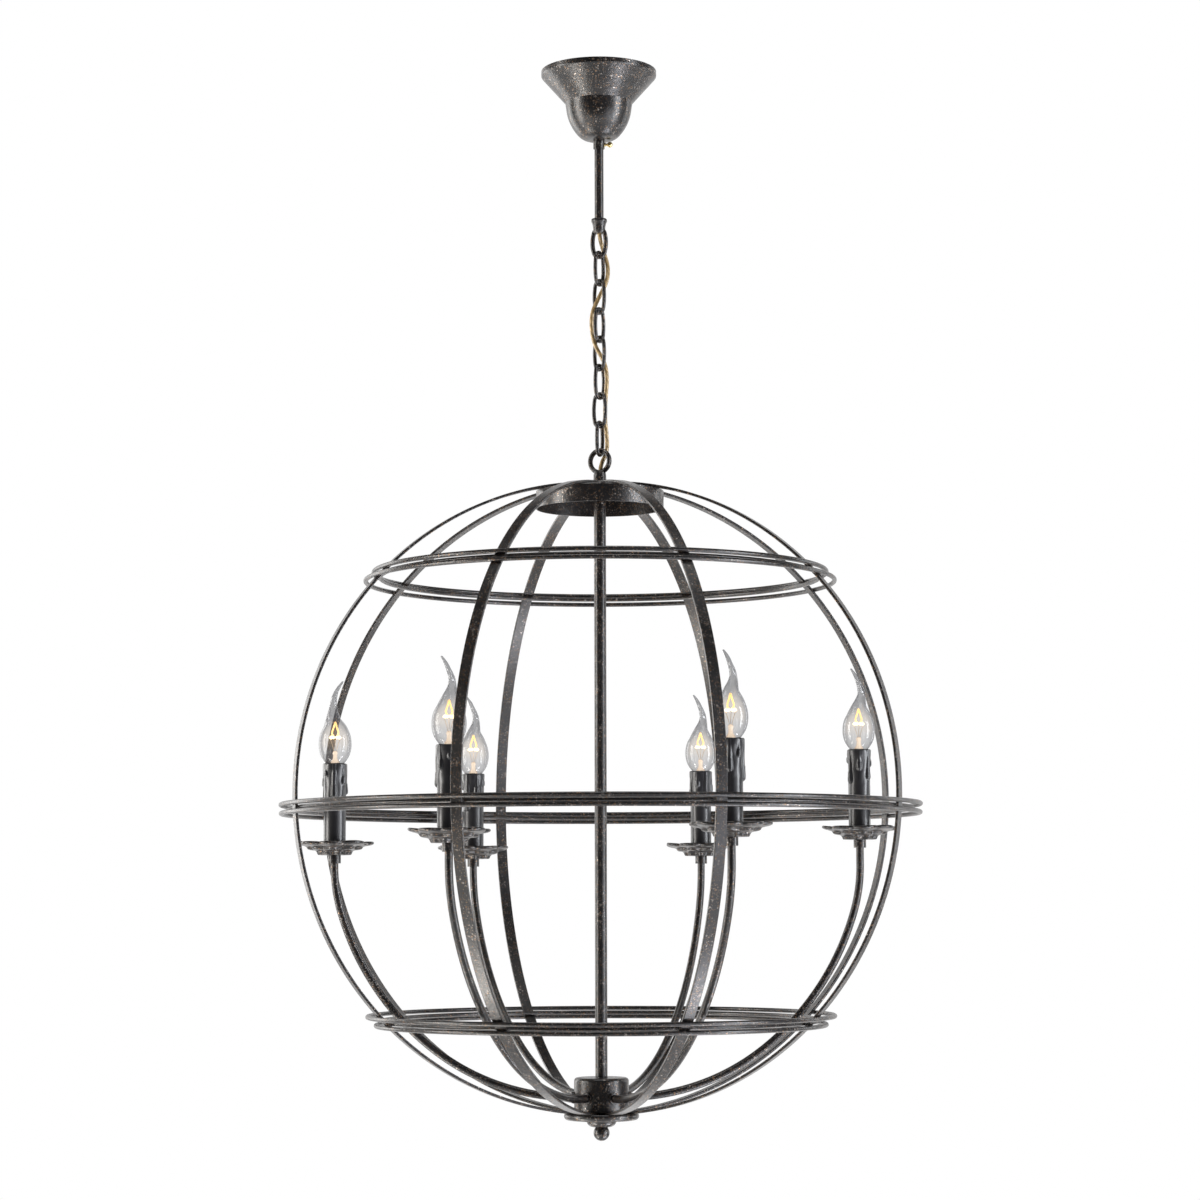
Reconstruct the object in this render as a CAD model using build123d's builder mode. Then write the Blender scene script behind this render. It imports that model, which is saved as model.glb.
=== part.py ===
"""Orb chandelier: six candle lights inside an orb of flat ribs and three hoops,
hung by a chain and a stem from a ceiling canopy.

Millimetres, +Z up.  The origin is on the ceiling, in the middle of the bracket's top face, and the
whole light hangs below it.  Headings are degrees round +Z from +X; the front looks along +Y.
"""
from build123d import *
import os
from math import acos, atan2, cos, degrees, pi, radians, sin, sqrt, tan

os.makedirs("parts", exist_ok=True)

# ---------------------------------------------------------------- the orb as a whole
orb_radius = 337.5  # outside of the ribs
rib_count = 8
rib_turn = -69.65  # heading of the first rib
rib_width = 12.0
rib_thickness = 3.0
rib_end_radius = 16.0  # the ribs stop this far from the axis, above and below

# ---------------------------------------------------------------- clearances
weld_gap = 0.15  # between pieces that are welded or clamped together
link_gap = 0.3  # between links where they hang in each other
thread_gap = 0.05  # round a thread
slide_gap = 0.08  # round the stem in the canopy's collar, and round the thumb screw
cord_gap = 0.6  # round the cord in its holes

# ---------------------------------------------------------------- hoops
hoop_rod = 4.8
hoop_pitch = 4.6  # height from one rod of a hoop to the next
upper_hoop_height = 233.5  # heights of the middle rods above the orb's centre
middle_hoop_height = -14.8
lower_hoop_height = -238.0
rod_sides = 8

# ---------------------------------------------------------------- ceiling bracket and its nipple
bracket_sheet = 2.0
bracket_width = 22.0
bracket_length = 100.0
bracket_drop = 8.0  # top of the middle below the ceiling
bracket_flat = 46.0  # length of the lowered middle
bracket_slope = 6.0  # run of each sloped part
screw_spacing = 80.0
screw_slot_width = 5.0
screw_slot_length = 12.0
nipple_diameter = 8.0
nipple_bore = 5.8
nipple_chamfer = 0.6
nipple_rise = 5.4  # above the lowered middle of the bracket
nut_across_flats = 13.0
nut_height = 5.0
terminal_size = (12.0, 20.0, 12.0)
terminal_offset = 15.8  # from the axis to the middle of the block
terminal_hole = 3.2
terminal_pitch = 6.0
terminal_round = 1.5

# ---------------------------------------------------------------- stem
stem_diameter = 9.8
stem_top = 15.3  # below the ceiling
stem_end = 170.4
stem_loop_top = 163.4
stem_loop_collar = 17.2
stem_loop_collar_height = 4.0
stem_loop_collar_round = 1.6
stem_loop_neck = 12.5
stem_loop_neck_end = 178.0
stem_loop_wire = 4.9
stem_loop_width = 20.1
stem_loop_eye_top = 174.5  # heights of the wire's middle below the ceiling
stem_loop_eye_bottom = 205.45
stem_loop_end_radius = 6.2
stem_loop_heading = -18.0

# ---------------------------------------------------------------- canopy
canopy_sheet = 1.2
canopy_rim_radius = 62.8
canopy_rim_height = 3.0
canopy_rim_round = 2.4
canopy_waist_radius = 37.5
canopy_waist_drop = 34.0
canopy_step = 0.9  # the bell is this much smaller than the waist
canopy_bell_radius = 35.4  # where the bell starts to close in
canopy_bell_start = 43.5
canopy_bell_foot_radius = 22.5
canopy_bell_foot = 70.8
canopy_bell_drop = 73.6
canopy_collar_diameter = 12.4
canopy_collar_drop = 85.7
screw_drop = 81.0  # thumb screw below the ceiling
screw_thread = 4.0
screw_knob = 6.2
screw_knob_reach = 11.9  # axis of the stem to the middle of the knob
screw_neck = 3.0
screw_shoulder = 1.2  # thread that stands out of the collar
screw_knob_hole = 1.6

# ---------------------------------------------------------------- chain
link_wire = 4.2
link_length = 39.8
link_width = 20.0
link_end_radius = 6.8  # to the middle of the wire
link_headings = (57, -48, 56, -49, 55, -38, 68)

# ---------------------------------------------------------------- hanging loop on the orb
ring_radial = 5.0
ring_depth = 6.4
ring_outer_diameter = 28.5
ring_heading = -30.0
ring_neck_diameter = 14.0
ring_flange_diameter = 26.0
ring_flange_height = 2.4
ring_neck_height = 14.25  # foot of the flange to the middle of the ring's wire at its bottom

# ---------------------------------------------------------------- cord
cord_diameter = 4.6
cord_top = -6.0  # where the cord leaves the nipple, below the ceiling
cord_foot_rise = 4.0  # its end in the lamp pipe stands this far above the arms' holes
# down out of the stem, in and out of the links, and into the orb's neck
cord_route = (
    (0.0, 0.0, -172.0),
    (0.0, 0.0, -183.0),
    (4.8, 9.4, -198.0),
    (9.8, 8.9, -214.0),
    (8.8, 0.9, -232.0),
    (-0.3, -0.5, -250.0),
    (-8.3, 0.1, -267.0),
    (-8.8, -0.1, -285.0),
    (-5.3, 0.0, -303.0),
    (5.6, -0.2, -321.0),
    (8.5, 0.3, -338.0),
    (7.0, 1.1, -355.0),
    (5.8, 1.4, -372.0),
    (6.1, 2.3, -388.0),
    (8.0, 3.0, -404.0),
    (7.9, 2.4, -420.0),
    (0.0, 0.0, -435.0),
    (0.0, 0.0, -450.0),
)

# ---------------------------------------------------------------- middle of the orb
pan_sheet = 1.2
pan_radius = 68.8
pan_wall = 18.6
pipe_diameter = 10.0
pipe_bore = 8.0
pipe_rise = 10.15  # above the foot of the hanging loop's flange
pipe_below_cup = 2.0
tube_wall = 1.0
tube_clearance = 0.5  # round the lamp pipe
tube_bore = pipe_diameter + 2 * tube_clearance
tube_diameter = tube_bore + 2 * tube_wall
hub_diameter = 58.0
hub_wall = 1.5
hub_height = 35.1
hub_corner = 4.0
hub_lid_sheet = 1.4
dish_radius = 39.7
dish_sheet = 1.5
dish_floor_radius = 36.0
dish_depth = 7.2
dish_rim_inset = 1.4
cup_radius = 16.0
cup_foot_radius = 9.0
cup_depth = 7.35
cup_sheet = 1.3
finial_diameter = 17.0
finial_drop = 6.1  # middle of the ball below the cup's foot
finial_neck_diameter = 12.4

# ---------------------------------------------------------------- arms and candles
candle_headings = (-179, -122, 121, 66, -63, 9)
candle_lifts = (-6, 2, -7, -4, 7, 10)  # how much higher than the mean each candle stands
bulb_bends = (10, 190, 200, 185, 150, 175)  # heading of each bulb's bent tip
arm_diameter = 8.3
arm_rise = 14.1  # where the arms leave the hub, above its foot
candle_inset = 53.9  # from the outside of the ribs to the axis of a candle
arm_inner_end = 25.0  # from the axis
arm_straight = 5.0
arm_bends = ((240, 37.4), (286, 36.4), (172, 16.2))  # share of the radius and turn, from the hub outwards
flange_nut_diameter = 12.5
flange_nut_height = 3.2
ferrule_diameter = 13.5
ferrule_height = 8.5
ferrule_top = -57.0  # of a candle with no lift
tray_sheet = 2.0
tray_steps = ((16.5, 0.0), (21.5, 5.0), (29.0, 8.5), (42.0, 13.6))  # radius and rise, outside
tray_hole = 10.4
tray_petals = 8
tray_petal_radius = 16.0
tray_petal_reach = 26.0
tray_turns = (0, 12, 30, 20, 38, 5)
sleeve_diameter = 23.6
sleeve_wall = 1.5
sleeve_top = 41.2
sleeve_lip_diameter = 26.8
sleeve_lip_height = 7.0
sleeve_flare = 18.0
sleeve_lip_round = 1.5
drip_circle = 10.6  # from the candle's axis to the middle of a drip
drip_start = 4.6  # below the top
# heading, length below the top and radius of each wax drip
sleeve_drips = ((0, 31, 3.3), (50, 17, 2.9), (98, 40, 3.5), (152, 23, 3.1), (203, 13, 2.9), (251, 35, 3.4), (306, 21, 3.0))
sleeve_turns = (20, 75, 140, 200, 260, 320)
holder_rod = 9.8
holder_rod_bore = 6.0
holder_diameter = 19.6
holder_bore = 14.6
holder_floor = 8.0
holder_floor_sheet = 3.0
holder_top = 38.0
bulb_cap_diameter = 14.0
bulb_cap_foot = 14.0
bulb_cap_round = 2.5
bulb_neck = 39.0
# height above the sleeve, radius, and reach of the bend, for each section of the glass
bulb_sections = ((-2.2, 7.0, 0.0), (0.5, 10.6, 0.0), (7.5, 15.2, 0.0), (15.0, 17.2, 0.0),
                 (23.0, 17.5, 0.0), (31.0, 16.0, 0.0), (39.0, 12.6, 0.0), (48.0, 8.0, 0.2),
                 (57.0, 4.6, 1.0), (68.0, 3.3, 3.4), (79.0, 2.3, 6.4), (88.0, 1.3, 9.0))

# ---------------------------------------------------------------- worked-out places
rib_inner = orb_radius - rib_thickness
dome_radius = rib_inner - weld_gap
link_pitch = link_length - 2 * link_wire - link_gap
first_link_top = -stem_loop_eye_bottom + (stem_loop_wire + link_wire) / 2 + link_gap
link_count = len(link_headings)
last_link_foot = first_link_top - (link_count - 1) * link_pitch - (link_length - link_wire)
ring_radius = (ring_outer_diameter - ring_radial) / 2
ring_middle = last_link_foot + (link_wire + ring_radial) / 2 + link_gap - ring_radius
ring_foot = ring_middle - ring_radius
flange_foot = ring_foot - ring_neck_height
centre = flange_foot - dome_radius
pipe_top = dome_radius + pipe_rise
hub_foot = -sqrt(rib_inner**2 - (hub_diameter / 2) ** 2) + weld_gap
hub_top = hub_foot + hub_height
arm_height = hub_foot + arm_rise
cord_foot = arm_height + cord_foot_rise
dish_rim = -sqrt(orb_radius**2 - dish_radius**2) - weld_gap
dish_floor = dish_rim - dish_depth
cup_top = dish_floor - weld_gap
cup_foot = cup_top - cup_depth
pipe_foot = cup_foot - pipe_below_cup
candle_radius = orb_radius - candle_inset
bend_reach = 0.0  # how far the bends reach with their radii as listed
arm_slope = 0.0
for bend_share, bend_turn in arm_bends:
    bend_reach += bend_share * (sin(arm_slope + radians(bend_turn)) - sin(arm_slope))
    arm_slope += radians(bend_turn)
bend_scale = (candle_radius - arm_inner_end - arm_straight) / bend_reach


def upright(heading, height=0.0):
    """An upright plane through the axis: its X runs outwards along the heading, its Y up."""
    outwards = (cos(radians(heading)), sin(radians(heading)), 0)
    across = (sin(radians(heading)), -cos(radians(heading)), 0)
    return Plane(origin=(0, 0, height), x_dir=outwards, z_dir=across)


def oval(width, length, end_radius):
    """Four tangent arcs round the middle of a wire, the long way up."""
    half_width = width / 2
    end_centre = length / 2 - end_radius
    side_radius = (half_width**2 + end_centre**2 - end_radius**2) / (2 * (half_width - end_radius))
    side_reach = side_radius - half_width
    slant = degrees(atan2(end_centre, side_reach))
    CenterArc((-side_reach, 0), side_radius, -slant, 2 * slant)
    CenterArc((0, end_centre), end_radius, slant, 180 - 2 * slant)
    CenterArc((side_reach, 0), side_radius, 180 - slant, 2 * slant)
    CenterArc((0, -end_centre), end_radius, 180 + slant, 180 - 2 * slant)


def canopy_outline(inset):
    """Half the section of the spun canopy, drawn in by the inset, and closed along the axis."""
    rim = FilletPolyline(
        (canopy_rim_radius - inset, 0),
        (canopy_rim_radius - inset, -canopy_rim_height - canopy_rim_round + inset / 2),
        (canopy_waist_radius - inset, -canopy_waist_drop + inset / 2),
        radius=canopy_rim_round,
    )
    step_end = (canopy_waist_radius - canopy_step - inset, -canopy_waist_drop - canopy_step + inset / 2)
    step = Line(rim @ 1, step_end)
    side = Line(step @ 1, (canopy_bell_radius - inset, -canopy_bell_start))
    bell_end = (canopy_bell_foot_radius - inset / 2, -canopy_bell_foot + inset)
    bell = TangentArc(side @ 1, bell_end, tangent=side % 1)
    tip = TangentArc(bell @ 1, (0, -canopy_bell_drop + inset), tangent=bell % 1)
    Polyline(tip @ 1, (0, 0), rim @ 0)


def candle_place(number):
    """Where the candle of this number stands, as a plane at the height of the orb's centre."""
    heading = radians(candle_headings[number])
    lift = candle_lifts[number]
    place = (candle_radius * cos(heading), candle_radius * sin(heading), centre + lift)
    return Plane(origin=place)


# ================================================================ ceiling bracket
bracket_end = bracket_length / 2
bracket_foot = bracket_flat / 2 + bracket_slope
with BuildPart() as ceiling_bracket:
    with BuildSketch(Plane.XZ):
        with BuildLine():
            Polyline(
                (-bracket_end, 0),
                (-bracket_foot, 0),
                (-bracket_flat / 2, -bracket_drop),
                (bracket_flat / 2, -bracket_drop),
                (bracket_foot, 0),
                (bracket_end, 0),
            )
            offset(amount=bracket_sheet, side=Side.RIGHT)
        make_face()
    extrude(amount=bracket_width / 2, both=True)
    end_corners = ceiling_bracket.edges().filter_by(Axis.Z)
    fillet(end_corners, radius=bracket_width / 4)
    with BuildSketch(Plane.XY):
        with Locations((screw_spacing / 2, 0), (-screw_spacing / 2, 0)):
            SlotOverall(screw_slot_length, screw_slot_width)
    extrude(amount=-bracket_sheet, mode=Mode.SUBTRACT)
    with BuildSketch(Plane.XY.offset(-bracket_drop)):
        Circle(nipple_diameter / 2 + thread_gap)
    extrude(amount=-bracket_sheet, mode=Mode.SUBTRACT)
ceiling_bracket.part.label = "ceiling_bracket"
export_step(ceiling_bracket.part, "parts/ceiling_bracket.step")

# ---------------------------------------------------------------- nipple, its nuts
nipple_top = -bracket_drop + nipple_rise
bracket_underside = -bracket_drop - bracket_sheet
with BuildPart() as bracket_nipple:
    with BuildSketch(Plane.XY.offset(nipple_top)):
        Circle(nipple_diameter / 2)
        Circle(nipple_bore / 2, mode=Mode.SUBTRACT)
    extrude(amount=-(nipple_top + stem_top + 2 * nipple_diameter))
    chamfer(bracket_nipple.edges().filter_by(GeomType.CIRCLE).sort_by(SortBy.RADIUS)[-2:], nipple_chamfer)
bracket_nipple.part.label = "bracket_nipple"
export_step(bracket_nipple.part, "parts/bracket_nipple.step")

with BuildPart() as bracket_nuts:
    for nut_floor in (-bracket_drop, bracket_underside - nut_height):
        with BuildSketch(Plane.XY.offset(nut_floor)):
            RegularPolygon(nut_across_flats / 2, 6, major_radius=False)
            Circle(nipple_diameter / 2 + thread_gap, mode=Mode.SUBTRACT)
        extrude(amount=nut_height)
bracket_nuts.part.label = "bracket_nuts"
export_step(bracket_nuts.part, "parts/bracket_nuts.step")

# ---------------------------------------------------------------- terminal block
terminal_length, terminal_width, terminal_height = terminal_size
terminal_top = bracket_underside - weld_gap
with BuildPart() as terminal_block:
    with BuildSketch(Plane.XY.offset(terminal_top)):
        with Locations((terminal_offset, 0)):
            Rectangle(terminal_length, terminal_width)
    extrude(amount=-terminal_height)
    fillet(terminal_block.edges().filter_by(Axis.Z), radius=terminal_round)
    with BuildSketch(Plane.YZ.offset(terminal_offset - terminal_length / 2)):
        with Locations((0, terminal_top - terminal_height / 2)):
            with GridLocations(terminal_pitch, 1, 3, 1):
                Circle(terminal_hole / 2)
    extrude(amount=terminal_length, mode=Mode.SUBTRACT)
    with BuildSketch(Plane.XY.offset(terminal_top - terminal_height)):
        with Locations((terminal_offset, 0)):
            with GridLocations(1, terminal_pitch, 1, 3):
                Circle(terminal_hole / 2)
    extrude(amount=terminal_height / 3, mode=Mode.SUBTRACT)
terminal_block.part.label = "terminal_block"
export_step(terminal_block.part, "parts/terminal_block.step")

# ================================================================ stem
with BuildPart() as stem:
    with BuildSketch(Plane.XY.offset(-stem_top)):
        Circle(stem_diameter / 2)
        Circle(nipple_diameter / 2 + thread_gap, mode=Mode.SUBTRACT)
    extrude(amount=-(stem_end - stem_top))
stem.part.label = "stem"
export_step(stem.part, "parts/stem.step")

# ---------------------------------------------------------------- stem loop: neck and oval eye in one casting
eye_middle = -(stem_loop_eye_top + stem_loop_eye_bottom) / 2
eye_length = stem_loop_eye_bottom - stem_loop_eye_top
eye_plane = upright(stem_loop_heading, eye_middle)
with BuildPart() as stem_loop:
    with BuildLine(eye_plane) as eye_line:
        oval(stem_loop_width - stem_loop_wire, eye_length, stem_loop_end_radius)
    with BuildSketch(Plane(origin=eye_line.wire() @ 0, x_dir=eye_plane.z_dir, z_dir=eye_line.wire() % 0)):
        RegularPolygon(stem_loop_wire / 2, rod_sides)
    sweep(path=eye_line.line)
    with BuildSketch(Plane.XZ):
        with BuildLine():
            Polyline(
                (0, -stem_loop_top),
                (stem_loop_collar / 2, -stem_loop_top),
                (stem_loop_collar / 2, -stem_loop_top - stem_loop_collar_height),
                (stem_loop_neck / 2, -stem_loop_neck_end),
                (0, -stem_loop_neck_end),
                close=True,
            )
        collar_face = make_face()
        rim_corners = collar_face.vertices().sort_by(Axis.X)[-2:]
        fillet(rim_corners, radius=stem_loop_collar_round)
    revolve(axis=Axis.Z)
    with BuildSketch(Plane.XY.offset(-stem_loop_top)):
        Circle(stem_diameter / 2 + thread_gap)
    extrude(amount=-(stem_end + weld_gap - stem_loop_top), mode=Mode.SUBTRACT)
    with BuildSketch(Plane.XY.offset(-stem_end)):
        Circle(cord_diameter / 2 + cord_gap)
    extrude(amount=-(stem_loop_neck_end - stem_end + stem_loop_wire), mode=Mode.SUBTRACT)
stem_loop.part.label = "stem_loop"
export_step(stem_loop.part, "parts/stem_loop.step")

# ================================================================ canopy: cone, bell and collar
with BuildPart() as canopy:
    with BuildSketch(Plane.XZ):
        with BuildLine():
            canopy_outline(0)
        make_face()
    revolve(axis=Axis.Z)
    with BuildSketch(Plane.XZ):
        with BuildLine():
            canopy_outline(canopy_sheet)
        make_face()
    revolve(axis=Axis.Z, mode=Mode.SUBTRACT)
    with BuildSketch(Plane.XY.offset(-canopy_bell_drop + canopy_sheet)):
        Circle(canopy_collar_diameter / 2)
    extrude(amount=-(canopy_collar_drop - canopy_bell_drop + canopy_sheet))
    with BuildSketch(Plane.XY.offset(-canopy_bell_drop + canopy_sheet)):
        Circle(stem_diameter / 2 + slide_gap)
    extrude(amount=-(canopy_collar_drop - canopy_bell_drop + canopy_sheet), mode=Mode.SUBTRACT)
    with BuildSketch(Plane.YZ):
        with Locations((0, -screw_drop)):
            Circle(screw_thread / 2 + slide_gap)
    extrude(amount=canopy_collar_diameter, mode=Mode.SUBTRACT)
canopy.part.label = "canopy"
export_step(canopy.part, "parts/canopy.step")

# ---------------------------------------------------------------- thumb screw
screw_tip = stem_diameter / 2 + slide_gap
with BuildPart() as thumb_screw:
    with BuildSketch(Plane.YZ.offset(screw_tip)):
        with Locations((0, -screw_drop)):
            Circle(screw_thread / 2)
    extrude(amount=canopy_collar_diameter / 2 - screw_tip + screw_shoulder)
    with BuildSketch(Plane.YZ.offset(screw_tip)):
        with Locations((0, -screw_drop)):
            Circle(screw_neck / 2)
    extrude(amount=screw_knob_reach - screw_tip)
    with Locations((screw_knob_reach, 0, -screw_drop)):
        Sphere(screw_knob / 2)
        Cylinder(screw_knob_hole / 2, screw_knob, mode=Mode.SUBTRACT)
thumb_screw.part.label = "thumb_screw"
export_step(thumb_screw.part, "parts/thumb_screw.step")

# ================================================================ chain
for number, heading in enumerate(link_headings, start=1):
    link_middle = first_link_top - (number - 1) * link_pitch - (link_length - link_wire) / 2
    link_plane = upright(heading, link_middle)
    with BuildPart() as link:
        with BuildLine(link_plane) as link_line:
            oval(link_width - link_wire, link_length - link_wire, link_end_radius)
        with BuildSketch(Plane(origin=link_line.wire() @ 0, x_dir=link_plane.z_dir, z_dir=link_line.wire() % 0)):
            RegularPolygon(link_wire / 2, rod_sides)
        sweep(path=link_line.line)
    link.part.label = f"link_{number}"
    export_step(link.part, f"parts/link_{number}.step")

# ================================================================ hanging loop: ring, neck and flange
ring_section = upright(ring_heading + 90, ring_middle)
corner_turn = 360 / rod_sides
with BuildPart() as hanging_loop:
    with BuildSketch(ring_section):
        with Locations((0, ring_radius)):
            Polygon(*[
                (
                    ring_depth / 2 * cos(radians(corner_turn * (corner + 0.5))),
                    ring_radial / 2 * sin(radians(corner_turn * (corner + 0.5))),
                )
                for corner in range(rod_sides)
            ], align=None)
    revolve(axis=Axis(origin=ring_section.origin, direction=ring_section.x_dir))
    with BuildSketch(Plane.XY.offset(flange_foot)):
        Circle(ring_flange_diameter / 2)
    extrude(amount=ring_flange_height)
    with BuildSketch(Plane.XY.offset(flange_foot)):
        Circle(ring_neck_diameter / 2)
    extrude(amount=ring_foot - flange_foot)
    with BuildSketch(Plane.XY.offset(flange_foot)):
        Circle(pipe_diameter / 2 + thread_gap)
    extrude(amount=centre + pipe_top + weld_gap - flange_foot, mode=Mode.SUBTRACT)
    with BuildSketch(Plane.XY.offset(flange_foot)):
        Circle(cord_diameter / 2 + cord_gap)
    extrude(amount=ring_foot + ring_radial - flange_foot, mode=Mode.SUBTRACT)
hanging_loop.part.label = "hanging_loop"
export_step(hanging_loop.part, "parts/hanging_loop.step")

# ================================================================ top pan
pan_inner_dome = dome_radius - pan_sheet
pan_shoulder = sqrt(dome_radius**2 - pan_radius**2)
pan_inner_shoulder = sqrt(pan_inner_dome**2 - (pan_radius - pan_sheet) ** 2)
pan_wall_end = pan_shoulder - pan_wall
with BuildPart() as top_pan:
    with BuildSketch(Plane(origin=(0, 0, centre), x_dir=(1, 0, 0), z_dir=(0, -1, 0))):
        with BuildLine():
            crown = RadiusArc((0, dome_radius), (pan_radius, pan_shoulder), dome_radius)
            wall = Polyline(
                crown @ 1,
                (pan_radius, pan_wall_end),
                (pan_radius - pan_sheet, pan_wall_end),
                (pan_radius - pan_sheet, pan_inner_shoulder),
            )
            inner = RadiusArc(wall @ 1, (0, pan_inner_dome), -pan_inner_dome)
            Line(inner @ 1, crown @ 0)
        make_face()
    revolve(axis=Axis.Z)
    with BuildSketch(Plane.XY.offset(centre)):
        Circle(pipe_diameter / 2 + thread_gap)
    extrude(amount=orb_radius, mode=Mode.SUBTRACT)
top_pan.part.label = "top_pan"
export_step(top_pan.part, "parts/top_pan.step")

# ================================================================ lamp pipe, centre tube and hub
with BuildPart() as lamp_pipe:
    with BuildSketch(Plane.XY.offset(centre + pipe_foot)):
        Circle(pipe_diameter / 2)
        Circle(pipe_bore / 2, mode=Mode.SUBTRACT)
    extrude(amount=pipe_top - pipe_foot)
    with BuildSketch(Plane.YZ):
        with Locations((0, centre + arm_height)):
            SlotCenterToCenter(pipe_diameter, cord_diameter, rotation=90)
    extrude(amount=pipe_diameter, mode=Mode.SUBTRACT)
lamp_pipe.part.label = "lamp_pipe"
export_step(lamp_pipe.part, "parts/lamp_pipe.step")

tube_foot = hub_top + weld_gap
tube_head = sqrt(pan_inner_dome**2 - (tube_diameter / 2) ** 2) - weld_gap
with BuildPart() as centre_tube:
    with BuildSketch(Plane.XY.offset(centre + tube_foot)):
        Circle(tube_diameter / 2)
        Circle(tube_bore / 2, mode=Mode.SUBTRACT)
    extrude(amount=tube_head - tube_foot)
centre_tube.part.label = "centre_tube"
export_step(centre_tube.part, "parts/centre_tube.step")

arm_hole = arm_diameter / 2 + slide_gap
with BuildPart() as hub:
    with BuildSketch(Plane.XY.offset(centre + hub_foot)):
        Circle(hub_diameter / 2)
    extrude(amount=hub_height)
    fillet(hub.edges().group_by(Axis.Z)[-1], radius=hub_corner)
    with BuildSketch(Plane.XY.offset(centre + hub_foot)):
        Circle(hub_diameter / 2 - hub_wall)
    extrude(amount=hub_height - hub_wall, mode=Mode.SUBTRACT)
    with BuildSketch(Plane.XY.offset(centre + hub_top - 2 * hub_wall)):
        Circle(pipe_diameter / 2 + thread_gap)
    extrude(amount=3 * hub_wall, mode=Mode.SUBTRACT)
    for heading in candle_headings:
        wall_plane = Plane(
            origin=(0, 0, centre + arm_height),
            z_dir=(cos(radians(heading)), sin(radians(heading)), 0),
        )
        with BuildSketch(wall_plane):
            Circle(arm_hole)
        extrude(amount=hub_diameter, mode=Mode.SUBTRACT)
hub.part.label = "hub"
export_step(hub.part, "parts/hub.step")

with BuildPart() as hub_lid:
    with BuildSketch(Plane.XY.offset(centre + hub_foot)):
        Circle(hub_diameter / 2 - hub_wall - weld_gap)
        Circle(pipe_diameter / 2 + thread_gap, mode=Mode.SUBTRACT)
    extrude(amount=hub_lid_sheet)
hub_lid.part.label = "hub_lid"
export_step(hub_lid.part, "parts/hub_lid.step")

# ---------------------------------------------------------------- dish, cup and ball below the ribs
orb_section = Plane(origin=(0, 0, centre), x_dir=(1, 0, 0), z_dir=(0, -1, 0))
with BuildPart() as bottom_dish:
    with BuildSketch(orb_section):
        with BuildLine():
            side = ThreePointArc(
                (dish_radius - dish_rim_inset, dish_rim),
                (dish_radius, (dish_rim + dish_floor) / 2),
                (dish_floor_radius, dish_floor),
            )
            Line(side @ 1, (pipe_diameter / 2 + thread_gap, dish_floor))
            offset(amount=dish_sheet, side=Side.RIGHT)
        make_face()
    revolve(axis=Axis.Z)
bottom_dish.part.label = "bottom_dish"
export_step(bottom_dish.part, "parts/bottom_dish.step")

with BuildPart() as finial_cup:
    with BuildSketch(orb_section):
        with BuildLine():
            side = TangentArc((cup_radius, cup_top), (cup_foot_radius, cup_foot), tangent=(0, -1))
            Line(side @ 1, (pipe_diameter / 2 + thread_gap, cup_foot))
            offset(amount=cup_sheet, side=Side.RIGHT)
        make_face()
    revolve(axis=Axis.Z)
finial_cup.part.label = "finial_cup"
export_step(finial_cup.part, "parts/finial_cup.step")

finial_top = cup_foot - weld_gap
finial_middle = cup_foot - finial_drop
with BuildPart() as finial:
    with Locations((0, 0, centre + finial_middle)):
        Sphere(finial_diameter / 2)
    with BuildSketch(Plane.XY.offset(centre + finial_middle)):
        Circle(finial_neck_diameter / 2)
    extrude(amount=finial_top - finial_middle)
    with BuildSketch(Plane.XY.offset(centre + finial_top)):
        Circle(finial_diameter)
    extrude(amount=finial_diameter, mode=Mode.SUBTRACT)
    with BuildSketch(Plane.XY.offset(centre + pipe_foot - weld_gap)):
        Circle(pipe_diameter / 2 + thread_gap)
    extrude(amount=finial_diameter, mode=Mode.SUBTRACT)
finial.part.label = "finial"
export_step(finial.part, "parts/finial.step")

# ================================================================ ribs
for number in range(rib_count):
    rib_plane = upright(rib_turn + 360 / rib_count * number, centre)
    outer_start = degrees(acos(rib_end_radius / orb_radius))
    inner_start = degrees(acos(rib_end_radius / rib_inner))
    with BuildPart() as rib:
        with BuildSketch(rib_plane):
            with BuildLine():
                outer = CenterArc((0, 0), orb_radius, -outer_start, 2 * outer_start)
                inner = CenterArc((0, 0), rib_inner, -inner_start, 2 * inner_start)
                Line(outer @ 0, inner @ 0)
                Line(outer @ 1, inner @ 1)
            make_face()
        extrude(amount=rib_width / 2, both=True)
    rib.part.label = f"rib_{number + 1}"
    export_step(rib.part, f"parts/rib_{number + 1}.step")

# ================================================================ hoops: outer rods outside the ribs, the middle one inside
rod_outside = orb_radius + weld_gap + hoop_rod / 2
rod_inside = rib_inner - weld_gap - hoop_rod / 2
hoop_heights = {
    "upper_hoop": upper_hoop_height,
    "middle_hoop": middle_hoop_height,
    "lower_hoop": lower_hoop_height,
}
for name, hoop_height in hoop_heights.items():
    with BuildPart() as hoop:
        for step, reach in ((-1, rod_outside), (0, rod_inside), (1, rod_outside)):
            rod_height = hoop_height + step * hoop_pitch
            rod_radius = sqrt(reach**2 - rod_height**2)
            with BuildSketch(orb_section):
                with Locations((rod_radius, rod_height)):
                    RegularPolygon(hoop_rod / 2, rod_sides)
            revolve(axis=Axis.Z)
    hoop.part.label = name
    export_step(hoop.part, f"parts/{name}.step")

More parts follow.
